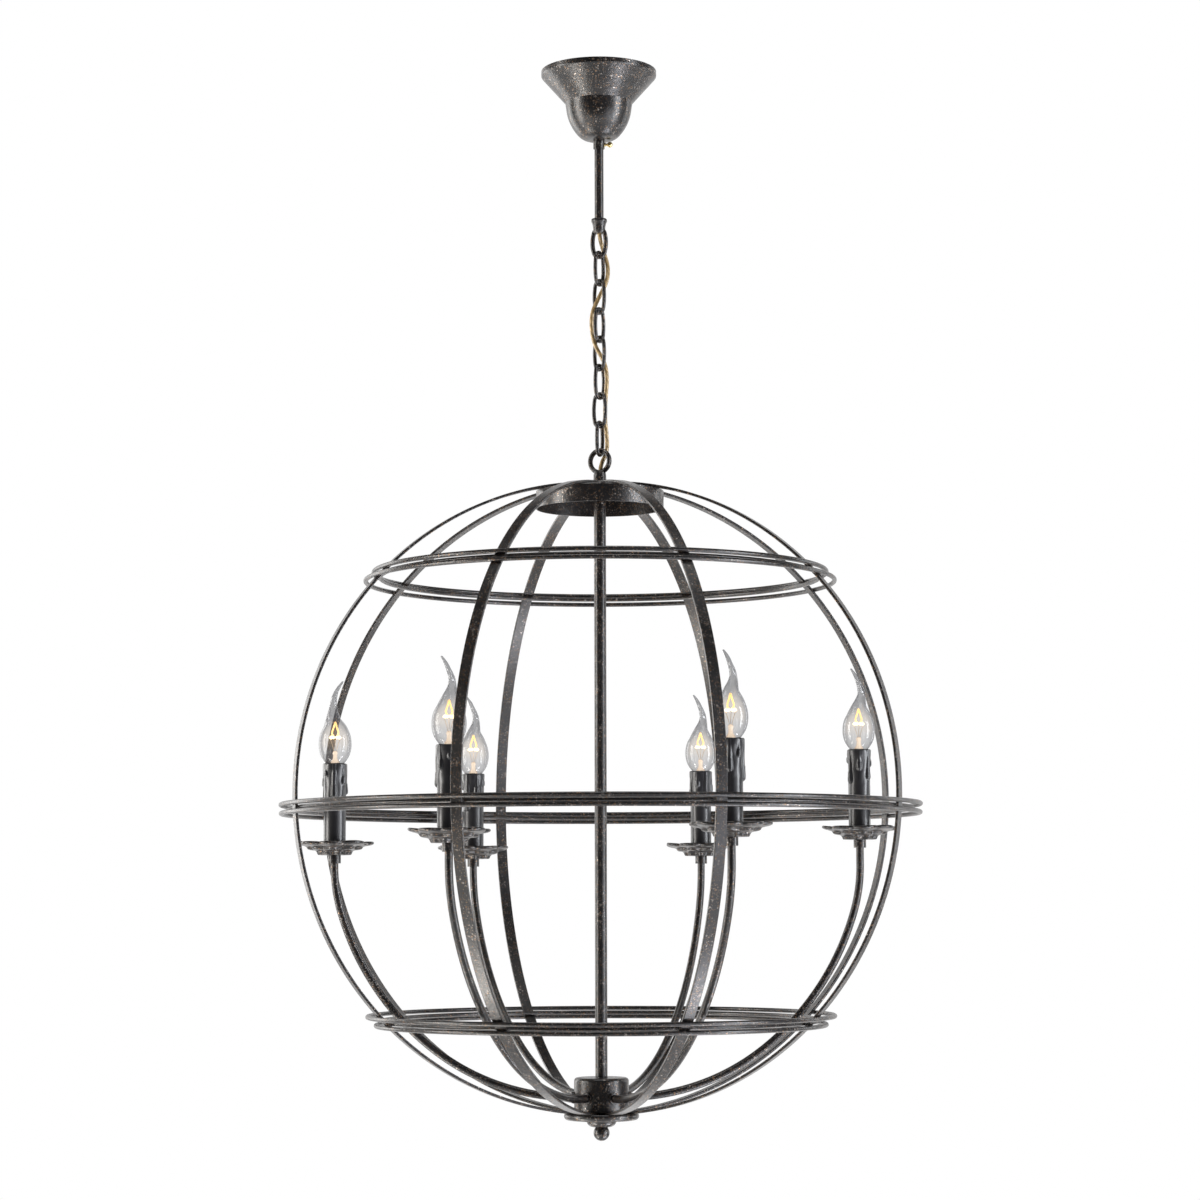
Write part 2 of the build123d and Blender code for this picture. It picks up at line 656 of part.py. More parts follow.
# ================================================================ arms, each with the ferrule that carries its candle
for number, heading in enumerate(candle_headings):
    arm_plane = upright(heading, centre)
    arm_foot = ferrule_top - ferrule_height + candle_lifts[number]
    with BuildPart() as arm:
        with BuildLine(arm_plane) as arm_line:
            Line((arm_inner_end, arm_height), (arm_inner_end + arm_straight, arm_height))
            slope = 0.0
            reach = arm_inner_end + arm_straight
            height = arm_height
            for bend_share, bend_turn in arm_bends:
                bend_radius = bend_scale * bend_share
                middle = (
                    reach - bend_radius * sin(radians(slope)),
                    height + bend_radius * cos(radians(slope)),
                )
                CenterArc(middle, bend_radius, slope - 90, bend_turn)
                slope += bend_turn
                reach = middle[0] + bend_radius * sin(radians(slope))
                height = middle[1] - bend_radius * cos(radians(slope))
            Line((reach, height), (reach, arm_foot + thread_gap))
        with BuildSketch(Plane(origin=arm_line.wire() @ 0, z_dir=arm_line.wire() % 0)):
            Circle(arm_diameter / 2)
        sweep(path=arm_line.line)
        ferrule_place = candle_place(number)
        with BuildSketch(ferrule_place.offset(ferrule_top - ferrule_height)):
            Circle(ferrule_diameter / 2)
        extrude(amount=ferrule_height)
        with BuildSketch(ferrule_place.offset(ferrule_top - ferrule_height / 2)):
            Circle(holder_rod / 2 + thread_gap)
        extrude(amount=ferrule_height, mode=Mode.SUBTRACT)
    arm.part.label = f"arm_{number + 1}"
    export_step(arm.part, f"parts/arm_{number + 1}.step")

with BuildPart() as arm_nuts:
    for heading in candle_headings:
        outwards = (cos(radians(heading)), sin(radians(heading)), 0)
        seat = sqrt((hub_diameter / 2) ** 2 - (flange_nut_diameter / 2) ** 2)
        nut_plane = Plane(
            origin=(seat * outwards[0], seat * outwards[1], centre + arm_height), z_dir=outwards
        )
        with BuildSketch(nut_plane):
            Circle(flange_nut_diameter / 2)
            Circle(arm_hole, mode=Mode.SUBTRACT)
        extrude(amount=flange_nut_height)
    with BuildSketch(Plane.XY.offset(centre + arm_height)):
        Circle(hub_diameter / 2 + weld_gap)
    extrude(amount=flange_nut_diameter, both=True, mode=Mode.SUBTRACT)
arm_nuts.part.label = "arm_nuts"
export_step(arm_nuts.part, "parts/arm_nuts.step")

# ================================================================ candles
tray_floor = ferrule_top + weld_gap
with BuildPart() as drip_tray:
    with BuildSketch(Plane.XZ):
        with BuildLine():
            Polyline(
                (tray_hole / 2, tray_floor),
                *[(radius, tray_floor + rise) for radius, rise in tray_steps],
            )
            offset(amount=tray_sheet, side=Side.LEFT)
        make_face()
    revolve(axis=Axis.Z)
    with BuildSketch(Plane.XY.offset(tray_floor - tray_sheet)):
        Circle(tray_petal_reach)
        with PolarLocations(tray_petal_reach, tray_petals):
            Circle(tray_petal_radius)
    extrude(amount=2 * tray_sheet - tray_floor, mode=Mode.INTERSECT)

with BuildPart() as drip_trays:
    for number, turn in enumerate(tray_turns):
        add(candle_place(number).location * Rotation(0, 0, turn) * drip_tray.part)
drip_trays.part.label = "drip_trays"
export_step(drip_trays.part, "parts/drip_trays.step")

# ---------------------------------------------------------------- candle sleeve, with wax drips moulded on
sleeve_foot = tray_floor + tray_sheet + weld_gap
sleeve_bore = sleeve_diameter - 2 * sleeve_wall
with BuildPart() as sleeve:
    with BuildSketch(Plane.XZ):
        with BuildLine():
            Polyline(
                (0, sleeve_foot),
                (sleeve_diameter / 2, sleeve_foot),
                (sleeve_diameter / 2, sleeve_top - sleeve_flare),
                (sleeve_lip_diameter / 2, sleeve_top - sleeve_lip_height),
                (sleeve_lip_diameter / 2, sleeve_top),
                (0, sleeve_top),
                close=True,
            )
        make_face()
    revolve(axis=Axis.Z)
    fillet(sleeve.edges().group_by(Axis.Z)[-1], radius=sleeve_lip_round)
    for heading, length, radius in sleeve_drips:
        drip_x = drip_circle * cos(radians(heading))
        drip_y = drip_circle * sin(radians(heading))
        with Locations((drip_x, drip_y, sleeve_top - drip_start), (drip_x, drip_y, sleeve_top - length)):
            Sphere(radius)
        with BuildSketch(Plane.XY.offset(sleeve_top - length)):
            with Locations((drip_x, drip_y)):
                Circle(radius)
        extrude(amount=length - drip_start)
    with BuildSketch(Plane.XY.offset(sleeve_foot)):
        Circle(sleeve_bore / 2)
    extrude(amount=sleeve_top - sleeve_foot, mode=Mode.SUBTRACT)

for number, turn in enumerate(sleeve_turns):
    placed_sleeve = candle_place(number).location * Rotation(0, 0, turn) * sleeve.part
    placed_sleeve.label = f"sleeve_{number + 1}"
    export_step(placed_sleeve, f"parts/sleeve_{number + 1}.step")

rod_foot = ferrule_top - ferrule_height / 2 + weld_gap
with BuildPart() as lampholders:
    for number in range(len(candle_headings)):
        place = candle_place(number)
        with BuildSketch(place.offset(rod_foot)):
            Circle(holder_rod / 2)
        extrude(amount=holder_floor - rod_foot + holder_floor_sheet)
        with BuildSketch(place.offset(holder_floor)):
            Circle(holder_diameter / 2)
        extrude(amount=holder_top - holder_floor)
        with BuildSketch(place.offset(holder_floor + holder_floor_sheet)):
            Circle(holder_bore / 2)
        extrude(amount=holder_top, mode=Mode.SUBTRACT)
        with BuildSketch(place.offset(rod_foot)):
            Circle(holder_rod_bore / 2)
        extrude(amount=holder_top, mode=Mode.SUBTRACT)
lampholders.part.label = "lampholders"
export_step(lampholders.part, "parts/lampholders.step")

for number, bend_heading in enumerate(bulb_bends):
    place = candle_place(number)
    with BuildPart() as bulb:
        with BuildSketch(place.offset(bulb_cap_foot)):
            Circle(bulb_cap_diameter / 2)
        extrude(amount=bulb_neck - bulb_cap_foot)
        fillet(bulb.edges().group_by(Axis.Z)[0], radius=bulb_cap_round)
        for height, radius, reach in bulb_sections:
            lean = (reach * cos(radians(bend_heading)), reach * sin(radians(bend_heading)), 0)
            section = Plane(origin=place.origin + Vector(*lean) + Vector(0, 0, sleeve_top + height))
            with BuildSketch(section):
                Circle(radius)
        loft(ruled=True)
    bulb.part.label = f"bulb_{number + 1}"
    export_step(bulb.part, f"parts/bulb_{number + 1}.step")

# ================================================================ cord: in the stem, through the chain, in the orb
with BuildPart() as supply_cord:
    with BuildSketch(Plane.XY.offset(cord_top)):
        Circle(cord_diameter / 2)
    extrude(amount=cord_route[0][2] - cord_top)
supply_cord.part.label = "supply_cord"
export_step(supply_cord.part, "parts/supply_cord.step")

cord_points = [Vector(*point) for point in cord_route]
cord_radii = []
for before, corner, after in zip(cord_points, cord_points[1:], cord_points[2:]):
    shorter = min((corner - before).length, (after - corner).length)
    turn = (corner - before).get_angle(after - corner)
    cord_radii.append(0.45 * shorter / tan(radians(turn / 2)))
print("cord radii", [round(radius, 1) for radius in cord_radii])
with BuildPart() as lamp_cord:
    with BuildLine() as cord_line:
        FilletPolyline(*cord_points, radius=cord_radii)
    cord_wire = cord_line.wire()
    with BuildSketch(Plane(origin=cord_wire @ 0, z_dir=cord_wire % 0)):
        Circle(cord_diameter / 2)
    sweep(path=cord_wire)
cord_volume = pi * (cord_diameter / 2) ** 2 * cord_wire.length
print("cord length", round(cord_wire.length, 1), "volume", lamp_cord.part.volume, "of", cord_volume)
lamp_cord.part.label = "lamp_cord"
export_step(lamp_cord.part, "parts/lamp_cord.step")

with BuildPart() as hub_cord:
    with BuildSketch(Plane.XY.offset(centre + cord_foot)):
        Circle(cord_diameter / 2)
    extrude(amount=cord_route[-1][2] - centre - cord_foot)
hub_cord.part.label = "hub_cord"
export_step(hub_cord.part, "parts/hub_cord.step")
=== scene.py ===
import math

import bpy
import numpy as np
from mathutils import Matrix, Vector


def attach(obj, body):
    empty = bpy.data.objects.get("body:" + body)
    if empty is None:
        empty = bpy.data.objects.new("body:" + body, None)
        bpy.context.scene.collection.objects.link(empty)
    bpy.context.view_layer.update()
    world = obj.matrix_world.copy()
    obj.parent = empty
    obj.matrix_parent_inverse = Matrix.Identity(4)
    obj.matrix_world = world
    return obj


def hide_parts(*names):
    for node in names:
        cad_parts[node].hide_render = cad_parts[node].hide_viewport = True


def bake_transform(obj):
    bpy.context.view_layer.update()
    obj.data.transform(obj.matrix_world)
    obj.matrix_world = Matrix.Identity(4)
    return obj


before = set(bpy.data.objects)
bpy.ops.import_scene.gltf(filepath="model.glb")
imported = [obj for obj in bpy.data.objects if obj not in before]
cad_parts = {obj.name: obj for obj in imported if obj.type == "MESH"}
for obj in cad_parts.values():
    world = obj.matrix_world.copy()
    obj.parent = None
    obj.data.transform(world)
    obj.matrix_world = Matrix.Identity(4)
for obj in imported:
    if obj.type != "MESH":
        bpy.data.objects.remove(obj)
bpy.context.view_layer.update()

mm = 0.001
fullCircle = 2 * math.pi
orbCentre = -790.0  # all pieces below are laid out in millimetres, with the ceiling at 0
upward = np.array((0, 0, 1.0))


# ---- small helpers ----
class Wire:  # one output of a node; sums on it add Math nodes
    def __init__(self, graph, socket):
        self.graph = graph
        self.socket = socket

    def __add__(self, other):
        return self.graph.maths("ADD", self, other)

    def __sub__(self, other):
        return self.graph.maths("SUBTRACT", self, other)

    def __rsub__(self, other):
        return self.graph.maths("SUBTRACT", other, self)

    def __mul__(self, other):
        return self.graph.maths("MULTIPLY", self, other)

    def __truediv__(self, other):
        return self.graph.maths("DIVIDE", self, other)

    __radd__ = __add__
    __rmul__ = __mul__


class Graph:  # a node tree, for a material, the world or Geometry Nodes
    def __init__(self, tree):
        self.tree = tree

    def node(self, kind, settings=None, values=None, out=0):
        made = self.tree.nodes.new(kind)
        for key, value in (settings or {}).items():
            setattr(made, key, value)
        for key, value in (values or {}).items():
            if isinstance(value, Wire):
                self.tree.links.new(value.socket, made.inputs[key])
            else:
                made.inputs[key].default_value = value
        return Wire(self, made.outputs[out]) if made.outputs else None

    def maths(self, operation, left, right=0.0):
        return self.node("ShaderNodeMath", {"operation": operation}, {0: left, 1: right})

    def mix(self, factor, first, second):
        return self.node("ShaderNodeMix", {"data_type": "RGBA"}, {0: factor, 6: first, 7: second}, 2)

    def noise(self, where, scale, detail=2.0, roughness=0.5):
        values = {"Vector": where, "Scale": scale, "Detail": detail, "Roughness": roughness}
        return self.node("ShaderNodeTexNoise", None, values)

    def cells(self, where, scale, out):  # Voronoi cells: Distance to the nearest, or its random Color
        return self.node("ShaderNodeTexVoronoi", None, {"Vector": where, "Scale": scale}, out)

    def channel(self, colour, number):
        return self.node("ShaderNodeSeparateColor", None, {"Color": colour}, number)

    def uv(self, axis):  # the piece's own UV
        where = self.node("ShaderNodeTexCoord", None, None, "UV")
        return self.node("ShaderNodeSeparateXYZ", None, {"Vector": where}, axis)

    def rim(self):  # 0 where glass is seen square on, 1 at its outline
        return self.node("ShaderNodeLayerWeight", None, {"Blend": 0.5}, "Facing")

    def step(self, value, low, high):  # 0 below low, 1 above high, smooth between
        values = {"Value": value, "From Min": low, "From Max": high}
        return self.node("ShaderNodeMapRange", {"interpolation_type": "SMOOTHSTEP"}, values)

    def bump(self, strength, depth, height):
        return self.node("ShaderNodeBump", None, {"Strength": strength, "Distance": depth, "Height": height})


def newFinish(name, fixed, varied):
    material = bpy.data.materials.new(name)
    material.use_nodes = True
    material.node_tree.nodes.clear()
    graph = Graph(material.node_tree)
    where = graph.node("ShaderNodeTexCoord", None, None, "Object")
    surface = graph.node("ShaderNodeBsdfPrincipled", None, {**fixed, **varied(graph, where)})
    graph.node("ShaderNodeOutputMaterial", None, {"Surface": surface})
    return material


def newMesh(name, points, faces, material, smoothTo, uv=None):  # points in millimetres, smoothTo in degrees
    mesh = bpy.data.meshes.new(name)
    mesh.from_pydata([tuple(point) for point in np.asarray(points) * mm], [], faces)
    mesh.materials.append(material)
    if uv is not None:
        layer = mesh.uv_layers.new(name="UVMap")
        corner = np.empty(len(mesh.loops), dtype=np.int32)
        mesh.loops.foreach_get("vertex_index", corner)
        layer.data.foreach_set("uv", np.asarray(uv, dtype=np.float32)[corner].ravel())
    mesh.validate()
    mesh.shade_smooth()
    mesh.set_sharp_from_angle(angle=math.radians(smoothTo))
    made = bpy.data.objects.new(name, mesh)
    bpy.context.scene.collection.objects.link(made)
    return made


def headingVector(degrees):
    return np.array((math.cos(math.radians(degrees)), math.sin(math.radians(degrees)), 0.0))


def stepsRound(count):  # equal steps round a circle, in radians
    return np.linspace(0, fullCircle, count, endpoint=False)


def ringAt(spot, radius, turn, height=0.0):  # a ring round the upright through a spot, at these turns
    level = np.full_like(turn, spot[2] + height)
    return np.column_stack((spot[0] + radius * np.cos(turn), spot[1] + radius * np.sin(turn), level))


class Shell:  # gathers rings of points into one mesh
    def __init__(self):
        self.points = []
        self.faces = []

    def rings(self, rings, closed=False):  # closed joins the last ring to the first; else both ends get a cap
        start = len(self.points)
        count = len(rings[0])
        for ring in rings:
            self.points.extend(ring)
        last = len(rings) if closed else len(rings) - 1
        for i in range(last):
            low = start + i * count
            high = start + (i + 1) % len(rings) * count
            for j in range(count):
                k = (j + 1) % count
                self.faces.append((low + j, low + k, high + k, high + j))
        if not closed:
            self.faces.append(tuple(start + j for j in reversed(range(count))))
            top = start + (len(rings) - 1) * count
            self.faces.append(tuple(top + j for j in range(count)))

    def spin(self, outline, sides, at=(0, 0, 0)):  # turns a closed outline of radii and heights round a spot
        around = stepsRound(sides)
        self.rings([ringAt(at, radius, around, height) for radius, height in outline], closed=True)

    def made(self, name, material, smoothTo=40):
        return newMesh(name, self.points, self.faces, material, smoothTo)


def smoothRun(points, steps):  # a Catmull-Rom curve through the points
    points = np.asarray(points, dtype=float)
    padded = np.vstack((2 * points[0] - points[1], points, 2 * points[-1] - points[-2]))
    run = []
    for i in range(len(points) - 1):
        a, b, c, d = padded[i : i + 4]
        for t in np.linspace(0, 1, steps, endpoint=False):
            run.append(
                0.5
                * (2 * b + (c - a) * t + (2 * a - 5 * b + 4 * c - d) * t**2 + (3 * b - a - 3 * c + d) * t**3)
            )
    run.append(points[-1])
    return np.array(run)


def tubeRings(path, radius, sides, up):  # circles along a path, without twist; up isn't along its start
    path = np.asarray(path, dtype=float)
    along = np.gradient(path, axis=0)
    along /= np.linalg.norm(along, axis=1)[:, None]
    side = np.cross(along[0], up)
    turn = stepsRound(sides)
    rings = []
    for point, heading, size in zip(path, along, np.broadcast_to(radius, len(path))):
        side = side - heading * side.dot(heading)
        side /= np.linalg.norm(side)
        other = np.cross(heading, side)
        rings.append(point + size * (np.cos(turn)[:, None] * side + np.sin(turn)[:, None] * other))
    return rings


def geometryTree(name, sockets):
    tree = bpy.data.node_groups.new(name, "GeometryNodeTree")
    tree.interface.new_socket(name="Geometry", in_out="OUTPUT", socket_type="NodeSocketGeometry")
    inputs = {}
    for label, kind in sockets:
        inputs[label] = tree.interface.new_socket(name=label, in_out="INPUT", socket_type=kind).identifier
    graph = Graph(tree)
    entry = tree.nodes.new("NodeGroupInput")
    wires = {label: Wire(graph, entry.outputs[label]) for label, kind in sockets}
    return graph, wires, inputs


def finishTree(graph, geometry, material):
    solid = graph.node("GeometryNodeRealizeInstances", None, {"Geometry": geometry})
    smooth = graph.node("GeometryNodeSetShadeSmooth", None, {"Geometry": solid})
    coated = graph.node("GeometryNodeSetMaterial", None, {"Geometry": smooth, "Material": material})
    graph.node("NodeGroupOutput", None, {"Geometry": coated})


def grow(name, host, tree, inputs, values, sharpFrom=None):  # runs the tree and keeps a plain mesh
    modifier = host.modifiers.new("grow", "NODES")
    modifier.node_group = tree
    for label, value in values.items():
        modifier[inputs[label]] = value
    bpy.context.scene.collection.objects.link(host)
    evaluated = bpy.context.evaluated_depsgraph_get()
    mesh = bpy.data.meshes.new_from_object(host.evaluated_get(evaluated), depsgraph=evaluated)
    host.modifiers.remove(modifier)
    bpy.data.objects.remove(host)
    mesh.name = name
    if sharpFrom is not None:
        mesh.set_sharp_from_angle(angle=math.radians(sharpFrom))
    made = bpy.data.objects.new(name, mesh)
    bpy.context.scene.collection.objects.link(made)
    return made


def emptyHost(name):
    return bpy.data.objects.new(name, bpy.data.meshes.new(name))


def place(piece, body, slot, *replaced):
    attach(piece, body)
    if replaced:
        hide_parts(*replaced)


# ---- camera ----
view = {"x": -0.15, "y": -3295.0, "z": -904.0, "tilt": 5.614, "roll": -0.153, "focalPixels": 3079.5,
        "picturePixels": 1200, "sensor": 36.0, "farthest": 60}
cameraData = bpy.data.cameras.new("camera")
cameraData.sensor_width = view["sensor"]
cameraData.sensor_fit = "HORIZONTAL"
cameraData.lens = view["sensor"] * view["focalPixels"] / view["picturePixels"]
cameraData.clip_end = view["farthest"]
camera = bpy.data.objects.new("camera", cameraData)
camera.matrix_world = (
    Matrix.Translation((view["x"] * mm, view["y"] * mm, view["z"] * mm))
    @ Matrix.Rotation(math.radians(90 + view["tilt"]), 4, "X")
    @ Matrix.Rotation(math.radians(view["roll"]), 4, "Z")
)
bpy.context.scene.collection.objects.link(camera)
bpy.context.scene.camera = camera

# ---- finishes ----
tones = {  # the two colours that each finish varies between
    "wax": ((0.008, 0.008, 0.01, 1), (0.018, 0.0175, 0.021, 1)),
    "brass": ((0.62, 0.4, 0.13, 1), (0.9, 0.68, 0.3, 1)),
    "zinc": ((0.46, 0.47, 0.48, 1), (0.66, 0.67, 0.66, 1)),
    "whitePlastic": ((0.72, 0.7, 0.65, 1), (0.82, 0.81, 0.77, 1)),
    "blackPlastic": ((0.012, 0.012, 0.013, 1), (0.03, 0.03, 0.03, 1)),
    "cord": ((0.24, 0.15, 0.055, 1), (0.68, 0.47, 0.22, 1)),
    "glass": ((0.09, 0.09, 0.1, 1), (0.13, 0.13, 0.14, 1)),
    # painted glow on the bulb glass, which is no lamp: it stands in for the coil's light
    "paintedGlassGlow": ((0.0, 0.0, 0.0, 1), (0.25, 0.17, 0.085, 1)),
    "stem": ((0.62, 0.5, 0.38, 1), (0.72, 0.64, 0.54, 1)),
    # painted glow on the glass stem, which is no lamp: bright in its middle, painted darker at its outline
    "paintedStemGlow": ((1.0, 0.8, 0.6, 1), (0.3, 0.15, 0.07, 1)),
    "coil": ((1.0, 0.6, 0.2, 1), (1.0, 0.75, 0.4, 1)),
    "coilGlow": ((0.47, 0.25, 0.08, 1), (1.0, 0.82, 0.5, 1)),
    "leads": ((0.5, 0.36, 0.24, 1), (0.8, 0.62, 0.42, 1)),
    "stage": ((0.6, 0.6, 0.6, 1), (0.64, 0.64, 0.64, 1)),
    "stageGlow": ((0.35, 0.35, 0.35, 1), (1, 1, 1, 1)),
}
cordHaze = (0.55, 0.42, 0.22, 1)  # the cord's clear skin where it is scuffed
stageFar = (0.03, 0.03, 0.03, 1)
ironLook = {
    "dark": (0.003, 0.0028, 0.0034, 1),
    "pale": (0.012, 0.01, 0.0105, 1),
    "bronze": (0.31, 0.2, 0.125, 1),
    "silver": (0.46, 0.41, 0.37, 1),
    "cloudScale": 40.0,
    "patchScale": 70.0,
    "hammerScale": 260.0,
    "grainScale": 850.0,
    "fineFlecks": (640.0, 0.3),  # cells to a metre, share of cells left bare
    "coarseFlecks": (360.0, 0.68),
    "fleckEdge": (0.22, 0.44),  # where a fleck starts to fade and where it ends, in cells
    "fineCover": (0.2, 0.4),  # how strong flecks are outside a worn patch, and how much more within
    "coarseCover": (0.34, 0.5),
}


def fleckLayer(graph, where, scale, bare):  # where a fleck lies, and its own random tint
    near = graph.cells(where, scale, "Distance")
    lot = graph.cells(where, scale, "Color")
    chosen = graph.step(graph.channel(lot, 0), bare, bare + 0.05)
    return (1 - graph.step(near, *ironLook["fleckEdge"])) * chosen, graph.channel(lot, 1)


def ironSurface(graph, where):
    look = ironLook
    cloud = graph.noise(where, look["cloudScale"], 3.0, 0.6)
    coat = graph.mix(graph.step(cloud, 0.35, 0.7), look["dark"], look["pale"])
    fine, fineTint = fleckLayer(graph, where, *look["fineFlecks"])
    coarse, coarseTint = fleckLayer(graph, where, *look["coarseFlecks"])
    patch = graph.step(graph.noise(where, look["patchScale"], 2.0), 0.36, 0.64)
    dust = graph.mix(graph.step(fineTint, 0.6, 0.8), look["bronze"], look["silver"])
    spark = graph.mix(graph.step(coarseTint, 0.5, 0.7), look["bronze"], look["silver"])
    least, more = look["fineCover"]
    colour = graph.mix(fine * (least + more * patch), coat, dust)
    least, more = look["coarseCover"]
    colour = graph.mix(coarse * (least + more * patch), colour, spark)
    hammer = graph.noise(where, look["hammerScale"], 2.0, 0.55)
    grain = graph.noise(where, look["grainScale"], 2.0, 0.6)
    return {
        "Base Color": colour,
        "Roughness": 0.25 + 0.14 * cloud - 0.06 * coarse,
        "Metallic": 0.35 * fine + 0.5 * coarse,
        "Normal": graph.bump(0.34, 0.0006, hammer + 0.45 * grain + 0.3 * coarse),
    }


def candleSurface(graph, where):  # glossy wax with faint upright streaks
    cloud = graph.noise(where, 60.0, 3.0, 0.55)
    streak = graph.node("ShaderNodeMapping", None, {"Vector": where, "Scale": (1.0, 1.0, 0.12)})
    run = graph.noise(streak, 420.0, 3.0, 0.5)
    return {
        "Base Color": graph.mix(graph.step(cloud, 0.3, 0.75), *tones["wax"]),
        "Roughness": 0.33 + 0.08 * run,
        "Normal": graph.bump(0.05, 0.0004, run + 0.5 * cloud),
    }


def brassSurface(graph, where):
    wear = graph.noise(where, 500.0, 4.0, 0.6)
    return {
        "Base Color": graph.mix(wear, *tones["brass"]),
        "Roughness": 0.16 + 0.16 * wear,
        "Normal": graph.bump(0.08, 0.0002, wear),
    }


def zincSurface(graph, where):
    spangle = graph.channel(graph.cells(where, 320.0, "Color"), 0)
    fine = graph.noise(where, 900.0, 3.0)
    return {
        "Base Color": graph.mix(spangle, *tones["zinc"]),
        "Roughness": 0.3 + 0.14 * fine,
        "Normal": graph.bump(0.1, 0.0002, fine),
    }


def plasticSurface(tone):
    def surface(graph, where):
        grain = graph.noise(where, 1400.0, 2.0)
        return {
            "Base Color": graph.mix(graph.noise(where, 120.0, 2.0), *tones[tone]),
            "Roughness": 0.4 + 0.12 * grain,
            "Normal": graph.bump(0.15, 0.0001, grain),
        }

    return surface


def cordSurface(graph, where):  # clear skin over two twisted gold cores; the pattern follows the cord's own UV
    across, along = graph.uv("X"), graph.uv("Y")
    core = 0.5 + 0.5 * graph.maths("COSINE", across * (2 * fullCircle) + along * 700.0)
    strand = 0.5 + 0.5 * graph.maths("SINE", across * 75.0 - along * 4200.0)
    fine = graph.noise(where, 700.0, 2.0)
    gold = graph.mix(0.6 * core + 0.3 * strand, *tones["cord"])
    return {
        "Base Color": graph.mix(0.25 * fine, gold, cordHaze),
        "Roughness": 0.3 + 0.15 * fine,
        "Metallic": 0.1 + 0.1 * core,
        "Normal": graph.bump(0.35, 0.0004, core + 0.3 * strand),
    }


def glassSurface(graph, where):  # thin clear glass: greyer at its rim and neck, with a painted warm glow in its belly standing in for the coil's light
    rise = graph.uv("Y")  # 0 at the glass's foot, 1 at its tip
    rim = graph.rim()
    neck = graph.step(rise, 0.36, 0.62)
    belly = graph.step(rise, 0.12, 0.28) * (1 - graph.step(rise, 0.34, 0.54))
    # painted glow: the glass itself emits warm light in its belly, fading towards its outline, where the coil's
    # light would shine through
    paintedGlow = belly * (1 - graph.step(rim, 0.1, 0.6))
    seed = graph.noise(where, 240.0, 2.0)
    return {
        "Base Color": graph.mix(seed, *tones["glass"]),
        "Roughness": 0.03 + 0.03 * seed,
        "Alpha": 0.24 + 0.3 * rim + 0.4 * rim * rim * rim + 0.2 * neck,
        "Emission Color": graph.mix(paintedGlow, *tones["paintedGlassGlow"]),
    }


def stemSurface(graph, where):
    cloud = graph.noise(where, 260.0, 2.0)
    return {
        "Base Color": graph.mix(cloud, *tones["stem"]),
        "Roughness": 0.25 + 0.15 * cloud,
        # painted glow: the stem emits the coil's light, brighter where seen square on and painted darker towards
        # its outline
        "Emission Color": graph.mix(graph.step(graph.rim(), 0.1, 0.7), *tones["paintedStemGlow"]),
    }


def coilSurface(graph, where):  # the coil's UV carries its heat
    return {
        "Base Color": graph.mix(graph.noise(where, 300.0, 2.0), *tones["coil"]),
        "Emission Color": graph.mix(graph.uv("Y"), *tones["coilGlow"]),
    }


def leadSurface(graph, where):
    cloud = graph.noise(where, 800.0, 2.0)
    return {"Base Color": graph.mix(cloud, *tones["leads"]), "Roughness": 0.3 + 0.1 * cloud}


waxGloss = {"Specular IOR Level": 0.8, "Coat Weight": 0.3, "Coat Roughness": 0.18}
blackIron = newFinish("blackIron", {"Specular IOR Level": 0.75}, ironSurface)
candleWax = newFinish("candleWax", waxGloss, candleSurface)
newFinish("brass", {"Metallic": 1.0}, brassSurface)
zincSteel = newFinish("zincSteel", {"Metallic": 1.0}, zincSurface)
newFinish("whitePlastic", {}, plasticSurface("whitePlastic"))
newFinish("blackPlastic", {}, plasticSurface("blackPlastic"))
goldCord = newFinish("goldCord", {"Coat Weight": 0.8, "Coat Roughness": 0.12}, cordSurface)
clearGlass = newFinish("clearGlass", {"Specular IOR Level": 1.0, "Emission Strength": 1.0}, glassSurface)
stemGlass = newFinish("stemGlass", {"Emission Strength": 0.8}, stemSurface)
hotCoil = newFinish("hotCoil", {"Emission Strength": 3.4}, coilSurface)
leadWire = newFinish("leadWire", {"Metallic": 1.0}, leadSurface)
print("finishes ready")

# ---- CAD pieces that keep their shape get their finish ----
keptNodes = {
    "blackIron": ["canopy", "stem", "top_pan", "centre_tube", "hub", "hub_lid", "bottom_dish", "finial_cup",
                  "finial", "arm_nuts"] + [f"arm_{number}" for number in range(1, 7)],
    "brass": ["thumb_screw"],
    "zincSteel": ["ceiling_bracket", "bracket_nipple", "bracket_nuts", "lamp_pipe"],
    "whitePlastic": ["terminal_block"],
    "blackPlastic": ["lampholders"],
    "goldCord": ["supply_cord", "hub_cord"],
}
for finish, names in keptNodes.items():
    for name in names:
        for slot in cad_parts[name].material_slots:
            slot.material = bpy.data.materials[finish]

# ---- lamp cord: woven down through the chain ----
cordRoute = (  # in metres
    (0.0, 0.0, -0.172),
    (0.0, 0.0, -0.183),
    (0.0048, 0.0094, -0.198),
    (0.0098, 0.0089, -0.214),
    (0.0088, 0.0009, -0.232),
    (-0.0003, -0.0005, -0.250),
    (-0.0083, 0.0001, -0.267),
    (-0.0088, -0.0001, -0.285),
    (-0.0053, 0.0, -0.303),
    (0.0056, -0.0002, -0.321),
    (0.0085, 0.0003, -0.338),
    (0.007, 0.0011, -0.355),
    (0.0058, 0.0014, -0.372),
    (0.0061, 0.0023, -0.388),
    (0.008, 0.003, -0.404),
    (0.0079, 0.0024, -0.420),
    (0.0, 0.0, -0.435),
    (0.0, 0.0, -0.450),
)
cordLook = {"diameter": 4.6, "sides": 20, "bendZone": 11.0}
stemLoop = {"heading": -18, "eyeTop": -174.5, "eyeFoot": -205.45, "width": 20.1, "wire": 4.9, "endRadius": 6.2}
